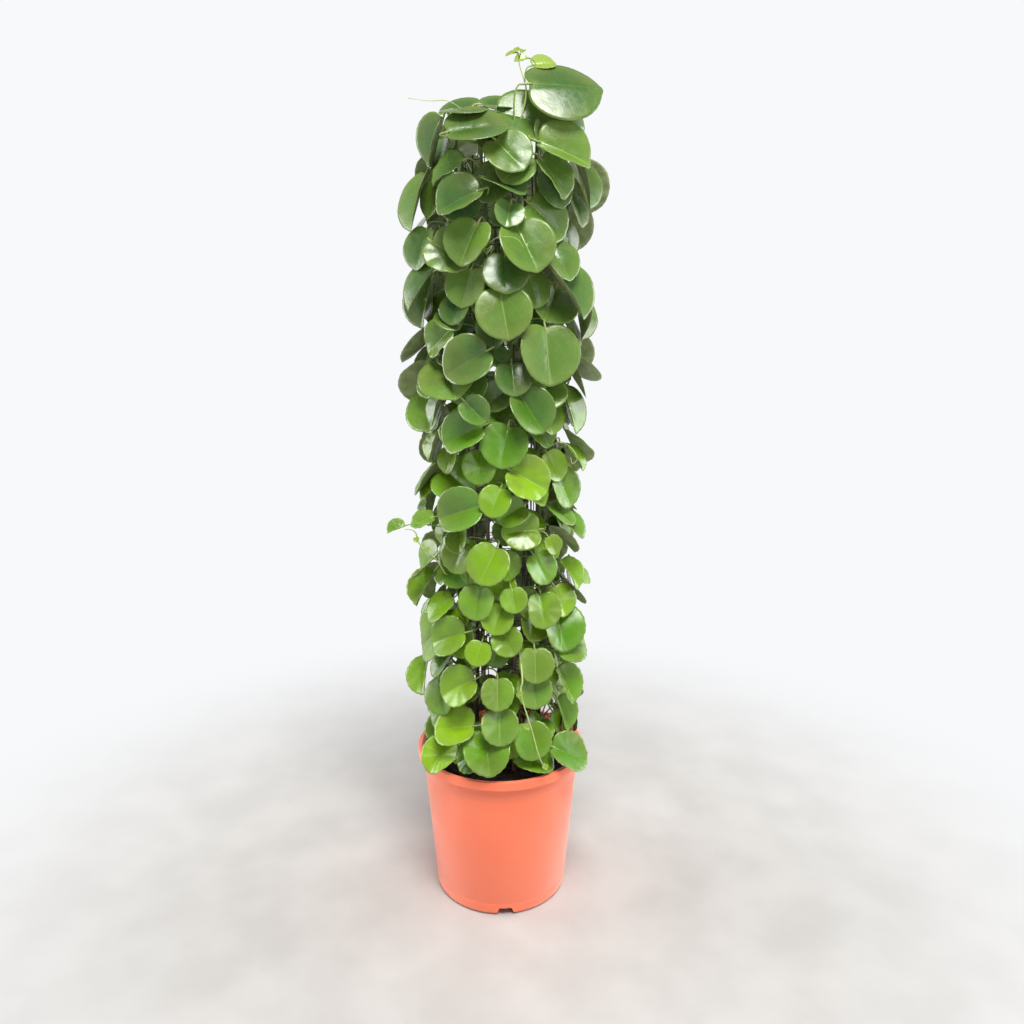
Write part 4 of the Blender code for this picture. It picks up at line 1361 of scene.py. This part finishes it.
# Colour of the painted shade patches
OLIVE_SHADE_COLOUR = (0.100, 0.120, 0.020)
YOUNG_LEAF_COLOUR = (0.21, 0.31, 0.035)
VEIN_COLOUR = (0.42, 0.56, 0.16)
MARGIN_COLOUR = (0.26, 0.36, 0.085)
UNDER_COLOURS = ((0.22, 0.28, 0.10), (0.37, 0.41, 0.22))
STALK_COLOURS = ((0.20, 0.32, 0.06), (0.30, 0.34, 0.13))
SHOOT_COLOURS = ((0.34, 0.45, 0.10), (0.44, 0.50, 0.20))
BARK_COLOURS = ((0.10, 0.16, 0.035), (0.13, 0.085, 0.045))
# Heights over which that painted shade and bluish sheen come in
PAINTED_SHADE_HEIGHTS = (0.62, 0.75)


def attribute(tree, name):
    return add_node(tree, "Attribute", {}, attribute_name=name).outputs["Vector"]


def vein_lines(tree, plan):
    """Five to seven main veins that fan out from the stalk and bend a little to the tip, with fine
    side veins between them; the result is two heights from 0 to 1."""
    parts = parts_of(tree, plan)
    forward = worked(tree, "SUBTRACT", parts[1], VEINS_MEET)
    reach = worked(tree, "SQRT", worked(tree, "ADD", worked(tree, "MULTIPLY", parts[0], parts[0]),
                                        worked(tree, "MULTIPLY", forward, forward)))
    angle = worked(tree, "ARCTAN2", parts[0], forward)
    bent = worked(tree, "MULTIPLY", angle, worked(tree, "MULTIPLY_ADD", reach, VEIN_BEND, 1.0))
    share = worked(tree, "MULTIPLY_ADD", bent, 1 / VEIN_SECTOR, 0.5)
    off_vein = worked(tree, "ABSOLUTE", worked(tree, "SUBTRACT", worked(tree, "FRACT", share), 0.5))
    distance = worked(tree, "MULTIPLY", off_vein, worked(tree, "MULTIPLY", reach, VEIN_SECTOR))
    aside = worked(tree, "ABSOLUTE", parts[0])
    width = worked(tree, "MULTIPLY_ADD", reach, -VEIN_THINNING, VEIN_WIDTH)
    width = worked(tree, "MULTIPLY", width, eased(tree, aside, 0.02, 0.07, 1.5, 1.0))
    main = worked(tree, "SUBTRACT", 1.0, worked(tree, "SMOOTH_MIN",
                                                 worked(tree, "DIVIDE", distance, width), 1.0, 0.15))
    chevron = worked(tree, "FRACT", worked(tree, "MULTIPLY_ADD", reach, SIDE_VEINS,
                                           worked(tree, "MULTIPLY", off_vein, -SIDE_VEIN_SLANT)))
    off_side_vein = worked(tree, "ABSOLUTE", worked(tree, "SUBTRACT", chevron, 0.5))
    side = eased(tree, off_side_vein, 0.0, 0.12, 1.0, 0.0)
    middle = eased(tree, aside, 0.03, 0.08, 1.0, 0.22)
    return worked(tree, "MULTIPLY", worked(tree, "MAXIMUM", main, 0.0), middle), side


def leaf_upper():
    """Fleshy and waxy: deep green, darker and bluer high up as painted shade and a painted bluish
    sheen, with dull olive patches of painted shade, pale veins with a painted highlight along the
    midrib, a broad paler edge that is partly its own and partly painted sheen, and a thin pale rim.
    Some leaves are bluish, and the young ones are yellow-green."""
    finish, tree, shader = new_finish("leaf_upper")
    plan = attribute(tree, "leaf_plan")
    tone = parts_of(tree, attribute(tree, "leaf_tone"))
    rim_share = parts_of(tree, plan)[2]
    main, side = vein_lines(tree, plan)
    places = object_places(tree)
    # Painted shade and bluish sheen: the blades turn darker and bluer with height
    painted_shade_high_up = eased(tree, parts_of(tree, places)[2], *PAINTED_SHADE_HEIGHTS)
    low_green = between(tree, tone[0], *LOW_LEAF_COLOURS)
    shaded_high_green = between(tree, tone[0], *SHADED_HIGH_LEAF_COLOURS)
    green = between(tree, painted_shade_high_up, low_green, shaded_high_green)
    bluish = eased(tree, tone[2], 0.0, 0.35, BLUISH_SHARE, 0.0)
    # Dull olive patches at random: painted shade, like the shadows of the leaves above
    olive = eased(tree, speckle(tree, places, *OLIVE_SHADE_PATCHES), 0.46, 0.62, 0.0, OLIVE_SHADE_SHARE)
    young = eased(tree, speckle(tree, places, *YOUNG_PATCHES), 0.4, 0.8, 0.0, YOUNG_SHARE)
    side_veins = worked(tree, "MULTIPLY", side, SIDE_VEIN_SHARE)
    # Pale veins, strongest on the midrib: partly their own colour, partly a painted highlight along
    # the midrib
    veins = worked(tree, "MULTIPLY", main, eased(tree, tone[0], 0.3, 1.0, *VEIN_AND_HIGHLIGHT_SHARES))
    # A broad paler edge: partly the leaf's own, partly painted sheen of the blade's edges
    margin_and_sheen = eased(tree, rim_share, 0.45, 1.0, 0.0, MARGIN_AND_SHEEN_SHARES[0])
    rim_line = eased(tree, rim_share, 0.97, 1.0, 0.0, MARGIN_AND_SHEEN_SHARES[1])
    layers = ((bluish, BLUISH_LEAF_COLOUR), (olive, OLIVE_SHADE_COLOUR), (tone[1], YOUNG_LEAF_COLOUR),
              (young, YOUNG_LEAF_COLOUR), (side_veins, VEIN_COLOUR), (veins, VEIN_COLOUR),
              (margin_and_sheen, MARGIN_COLOUR), (rim_line, MARGIN_COLOUR))
    for share, colour in layers:
        green = between(tree, share, green, colour)
    gloss = eased(tree, speckle(tree, places, *GLOSS_PATCHES), 0.3, 0.75, *LEAF_GLOSS)
    feed(tree, shader, {"Base Color": green, "Roughness": gloss, "Specular IOR Level": 0.5})
    quilt = worked(tree, "MULTIPLY_ADD", speckle(tree, places, *QUILT), 0.6,
                   worked(tree, "MULTIPLY", side, -0.15))
    relief = worked(tree, "SUBTRACT", quilt, worked(tree, "MULTIPLY", main, 0.55))
    uneven(tree, shader, relief, UPPER_RELIEF)
    return finish


def leaf_under():
    """The underside is dull, paler and greyer, with its veins standing out."""
    finish, tree, shader = new_finish("leaf_under")
    main, side = vein_lines(tree, attribute(tree, "leaf_plan"))
    cloud = eased(tree, speckle(tree, object_places(tree), *UNDER_CLOUDS), 0.3, 0.7)
    green = between(tree, cloud, *UNDER_COLOURS)
    green = between(tree, worked(tree, "MULTIPLY", main, 0.5), green, MARGIN_COLOUR)
    feed(tree, shader, {"Base Color": green, "Roughness": 0.5})
    relief = worked(tree, "MULTIPLY_ADD", main, 1.0, worked(tree, "MULTIPLY", side, 0.2))
    uneven(tree, shader, relief, UNDER_RELIEF)
    return finish


def green_stalk(name, colours):
    """Smooth and juicy, in patches of two greens."""
    finish, tree, shader = new_finish(name)
    places = object_places(tree)
    flush = eased(tree, speckle(tree, places, *STALK_FLUSH), 0.4, 0.65)
    feed(tree, shader, {"Base Color": between(tree, flush, *colours), "Roughness": 0.42})
    uneven(tree, shader, speckle(tree, places, *STALK_GRAIN), STALK_RELIEF)
    return finish


def stem_bark():
    """Green with brown corky patches, more of them low down."""
    finish, tree, shader = new_finish("stem_bark")
    places = object_places(tree)
    older = eased(tree, parts_of(tree, places)[2], 0.2, 0.9, 0.25, -0.15)
    patches = worked(tree, "ADD", speckle(tree, places, *CORK_PATCHES), older)
    cork = eased(tree, patches, 0.45, 0.68)
    feed(tree, shader, {"Base Color": between(tree, cork, *BARK_COLOURS), "Roughness": 0.6})
    uneven(tree, shader, speckle(tree, places, *BARK_GRAIN), BARK_RELIEF)
    return finish


class Foliage:
    """Gathers the faces of one vine, with what the leaf finishes need to know at each point."""

    def __init__(self):
        self.bm = bmesh.new()
        self.plan = self.bm.verts.layers.float_vector.new("leaf_plan")
        self.tone = self.bm.verts.layers.float_vector.new("leaf_tone")

    def add_vertex(self, place, plan, tone):
        vertex = self.bm.verts.new(place)
        vertex[self.plan] = plan
        vertex[self.tone] = tone
        return vertex

    def add_face(self, corners, finish):
        self.bm.faces.new(corners).material_index = finish


def tooth(leaf, angle, step, steps):
    """How far the rim stands out at a step: shallow teeth that lean to the tip, none by the stalk,
    and fainter on the leaves high up."""
    shape = TOOTH_SHAPE[min(step, steps - step) % STEPS_PER_TOOTH]
    low, high = TOOTH_DEPTHS
    depth = low + (high - low) * smooth((leaf.centre.z - TOOTH_FAINTER_FROM) / TOOTH_FAINTER_OVER)
    depth *= min(1, leaf.width / TOOTHED_WIDTH)
    last, fading = TEETH_END
    return depth * shape * smooth((last - abs(angle)) / fading) * smooth(abs(angle) / TEETH_START)


def give_form(leaf, rng):
    """Small random bends that make each blade its own."""
    size = min(1, leaf.width / FULL_BENDS_WIDTH)
    leaf.more_fold = rng.uniform(*MORE_FOLD)
    leaf.spoon = rng.uniform(*SPOON) * size
    leaf.droop = rng.uniform(*TIP_DROOP) * size
    leaf.wave = rng.uniform(*RIM_WAVE) * size
    leaf.midrib = MIDRIB_DEPTH * size
    leaf.thickness = BLADE_THICKNESS * min(1, leaf.width / FULL_THICKNESS_WIDTH)
    leaf.wave_turns = rng.choice(RIM_WAVE_TURNS)
    leaf.wave_start = rng.uniform(0, tau)


def formed_point(leaf, angle, radius, share, z=0):
    """A point of the finished blade, by its angle from the tip and its distance from the middle."""
    x = radius * sin(angle)
    y = 0.5 + radius * cos(angle)
    droop_from, droop_over = TIP_DROOP_RUN
    lift = leaf.spoon * (2 * x) ** 2 - leaf.droop * smooth((y - droop_from) / droop_over)
    lift += leaf.wave * share * share * sin(leaf.wave_turns * angle + leaf.wave_start)
    lift += SMALL_WAVE * leaf.wave * share ** 3 * sin((2 * leaf.wave_turns + 3) * angle)
    lift *= leaf.form
    lift -= leaf.midrib * exp(-(x / MIDRIB_WIDTH) ** 2) * smooth((1 - y) / MIDRIB_FADES)
    return leaf.blade_point(x, y, lift + z, leaf.fold + leaf.more_fold * leaf.form)


def coarse_blade(leaf):
    points = [formed_point(leaf, 0, 0, 0)]
    for share in (0.5, 1):
        for step in range(COARSE_STEPS):
            angle = tau * step / COARSE_STEPS - pi
            points.append(formed_point(leaf, angle, outline_radius(abs(angle)) * share, share))
    faces = []
    for step in range(COARSE_STEPS):
        after = (step + 1) % COARSE_STEPS
        faces.append((0, 1 + step, 1 + after))
        faces.append((1 + step, 1 + COARSE_STEPS + step, 1 + COARSE_STEPS + after, 1 + after))
    return BVHTree.FromPolygons(points, faces)


def ease_crossings(leaves):
    """Where two bent blades would touch, both are bent less, down to their plain form."""
    for ease_round in range(EASE_ROUNDS):
        shapes = [(leaf, coarse_blade(leaf)) for leaf in leaves]
        touching = set()
        for index, (leaf, shape) in enumerate(shapes):
            for other_index in range(index):
                other, other_shape = shapes[other_index]
                near = (leaf.width + other.width) * EASE_WITHIN
                if (leaf.centre - other.centre).length < near:
                    if shape.overlap(other_shape):
                        touching.update((index, other_index))
        for index in touching:
            leaves[index].form *= EASE_SHARE if ease_round < EASE_ROUNDS - 2 else 0


def add_blade(foliage, leaf, rng):
    """Two sheets that meet in a thin toothed rim, waved a little and thickest in the middle."""
    teeth = max(FEWEST_TEETH, round(pi * leaf.width / TOOTH_SPACING / 2))
    steps = 2 * teeth * STEPS_PER_TOOTH
    tone = (rng.random(), leaf.youth, rng.random())

    def place_at(step, share, side):
        angle = pi * (step * 2 / steps - 1)
        radius = outline_radius(abs(angle)) * share
        radius += tooth(leaf, angle, step, steps) * share ** 6 / leaf.width
        thin = RIM_THICKNESS + (leaf.thickness - RIM_THICKNESS) * sqrt(1 - share ** 4)
        place = formed_point(leaf, angle, radius, share, side * thin / 2)
        return place, (radius * sin(angle), 0.5 + radius * cos(angle), share)

    sheets = []
    shares = PLAIN_RINGS if leaf.plain else RINGS
    for side, finish in ((1, UPPER), (-1, UNDER)):
        middle_place, _ = place_at(0, 0, side)
        middle = foliage.add_vertex(middle_place, (0, 0.5, 0), tone)
        rings = []
        for share in (*shares, 1):
            ring = []
            for step in range(steps):
                place, plan = place_at(step, share, side)
                ring.append(foliage.add_vertex(place, plan, tone))
            rings.append(ring)
        for step in range(steps):
            foliage.add_face((middle, rings[0][step - 1], rings[0][step])[::side], finish)
            for inner, outer in zip(rings, rings[1:]):
                corners = (inner[step - 1], outer[step - 1], outer[step], inner[step])
                foliage.add_face(corners[::side], finish)
        sheets.append(rings[-1])
    upper, under = sheets
    for step in range(steps):
        foliage.add_face((upper[step - 1], under[step - 1], under[step], upper[step]), UPPER)


def add_leaf_stalk(foliage, leaf):
    """A round stalk, swollen where it joins the blade and where it joins the stem."""
    joint = 0.5 - outline_radius(pi)
    under = -leaf.thickness / 2
    path = [leaf.blade_point(0, joint + inward, under * deep) for inward, deep in STALK_STARTS]
    for step in range(1, STALK_STEPS + 1):
        path.append(leaf.petiole_point(0, step / STALK_STEPS, 0))
    slim = min(1, STALK_SLIMMEST + (1 - STALK_SLIMMEST) * leaf.width / FULL_BENDS_WIDTH)
    radii = []
    for index in range(len(path)):
        share = index / (len(path) - 1)
        swelling = sum(thick * exp(-((share - place) / length) ** 2)
                       for place, length, thick in STALK_JOINTS)
        radii.append((STALK_RADIUS + STALK_SWELLING * swelling) * slim)
    radii[0] *= 0.5
    add_tube(foliage.bm, path, radii, STALK_SIDES, STALK)


def add_stem(foliage, vine, roots):
    """A four-edged stem from its hole in the soil to its tip, thicker at each node."""
    foot = SOIL_TOP - STEM_HOLE_DEPTH / 2
    rise = stem_top(vine) - foot
    count = ceil(rise / STEM_STEP)
    rings = []
    for index in range(count + 1):
        height = foot + rise * index / count
        middle = stem_point(vine, height)
        swelling = sum(exp(-((height - root) / NODE_LENGTH) ** 2) for root in roots)
        radius = STEM_RADIUS * (1 - STEM_TAPER * index / count) + NODE_SWELLING * min(swelling, 1)
        ring = []
        for corner in range(STEM_SIDES):
            turn = tau * corner / STEM_SIDES + pi / 4 + home_angle(vine)
            reach = radius if corner % 2 == 0 else radius * STEM_HOLLOWS
            place = middle + Vector((reach * cos(turn), reach * sin(turn), 0))
            ring.append(foliage.add_vertex(place, (0, 0, 0), (0, 0, 0)))
        rings.append(ring)
    for low, high in zip(rings, rings[1:]):
        for corner in range(STEM_SIDES):
            foliage.add_face((low[corner - 1], low[corner], high[corner], high[corner - 1]), BARK)
    foliage.add_face(rings[0][::-1], BARK)
    foliage.add_face(rings[-1], BARK)


def make_vine(vine, leaves, finishes):
    rng = random.Random(VINE_SEED + vine)
    foliage = Foliage()
    add_stem(foliage, vine, [leaf.root.z for leaf in leaves])
    for leaf in leaves:
        add_blade(foliage, leaf, rng)
        add_leaf_stalk(foliage, leaf)
    add_young_growth(foliage, vine, rng)
    piece = finished_piece(f"climbing_vine_{vine + 1}", foliage.bm, finishes)
    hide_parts(f"vine_{vine + 1}")


# Young growth: thin yellow-green shoots that hang or stand free of the column, with small new
# leaves, and pale tendrils that reach out and curl. Each springs from a stem and belongs to it.
SHOOT_RADII = (0.0013, 0.0006)
SHOOT_SIDES = 6
TENDRIL_RADII = (0.00055, 0.0003)
TENDRIL_SIDES = 5
SHOOT_PATH_STEPS = 6
# Stem, height on it, then (across, up, out) in millimetres, then young leaves as the seen ones
SHOOTS = (
    (0, 392, ((24, 388, 85), (28, 358, 116), (26, 346, 121), (29, 329, 125), (39, 297, 129),
              (49, 259, 128), (57, 238, 122)),
     ((58, 240, 123, 9, 10, 0, 62, 25), (33, 300, 134, 9, 60, 20, 40, 30),
      (24, 342, 128, 9, -60, -20, 40, 30))),
    (7, 470, ((-70, 480, 55), (-79, 495, 62), (-88, 510, 70), (-99, 521, 76), (-106, 532, 80),
              (-108, 543, 83), (-113, 548, 86), (-121, 549, 88)),
     ((-107, 536, 88, 9, 20, -20, 60, 20), (-94, 521, 79, 7, 60, -20, 50, 20))),
    (0, 1030, ((28, 1052, 52), (33, 1078, 48), (29, 1096, 46), (25, 1108, 46), (24, 1116, 46)),
     ((15, 1121, 48, 15, -80, -10, 55, 10), (28, 1124, 48, 10, 160, 10, 40, 20),
      (21, 1124, 52, 8, 200, -10, 30, 20))),
)
# Stem, height on it, then (across, up, out) in millimetres
TENDRILS = (
    (8, 1026, ((-40, 1052, 52), (-60, 1066, 52), (-84, 1064, 60), (-108, 1066, 62))),
    (8, 903, ((-16, 903, 84), (-12, 897, 101), (-2, 900, 113), (12, 900, 119), (22, 896, 121),
              (28, 888, 119))),
    (8, 885, ((-15, 890, 82), (-9, 893, 99), (-12, 887, 102), (-16, 884, 101), (-17, 889, 99),
              (-12, 890, 100))),
    (1, 640, ((60, 650, 70), (76, 660, 84), (90, 652, 96), (96, 640, 98), (90, 634, 98),
              (88, 642, 97))),
)


def soft_curve(points, steps):
    """A smooth line through all the points."""
    line = []
    ends = [points[0] * 2 - points[1], *points, points[-1] * 2 - points[-2]]
    for before, start, end, after in zip(ends, ends[1:], ends[2:], ends[3:]):
        for step in range(steps):
            t = step / steps
            line.append(0.5 * (2 * start + (end - before) * t
                               + (2 * before - 5 * start + 4 * end - after) * t * t
                               + (3 * start - before - 3 * end + after) * t * t * t))
    return line + [points[-1]]


def add_thread(foliage, vine, height, places, radii, sides):
    """A green thread that thins from its stem to its end; returns its path."""
    points = [stem_point(vine, height / 1000), *(listed_place(*place) for place in places)]
    path = soft_curve(points, SHOOT_PATH_STEPS)
    start, end = radii
    tapered = [start + (end - start) * index / len(path) for index in range(len(path))]
    add_tube(foliage.bm, path, tapered, sides, SHOOT)
    return path


def add_young_growth(foliage, vine, rng):
    for own_vine, height, places, young in SHOOTS:
        if own_vine == vine:
            path = add_thread(foliage, vine, height, places, SHOOT_RADII, SHOOT_SIDES)
            for row in young:
                leaf = listed_leaf(row)
                leaf.grow_at(min(path, key=lambda place: (place - leaf.base).length))
                leaf.plain = True
                leaf.youth = 1
                give_form(leaf, rng)
                add_blade(foliage, leaf, rng)
                add_leaf_stalk(foliage, leaf)
    for own_vine, height, places in TENDRILS:
        if own_vine == vine:
            add_thread(foliage, vine, height, places, TENDRIL_RADII, TENDRIL_SIDES)


form_rng = random.Random(FORM_SEED)
for grown_leaf in all_leaves:
    give_form(grown_leaf, form_rng)
ease_crossings(all_leaves)
vine_finishes = [leaf_upper(), leaf_under(), green_stalk("leaf_stalk", STALK_COLOURS), stem_bark()]
vine_finishes += [green_stalk("young_shoot", SHOOT_COLOURS)]
for vine_index in range(VINES):
    own_leaves = [leaf for leaf in all_leaves if leaf.vine == vine_index]
    make_vine(vine_index, own_leaves, vine_finishes)
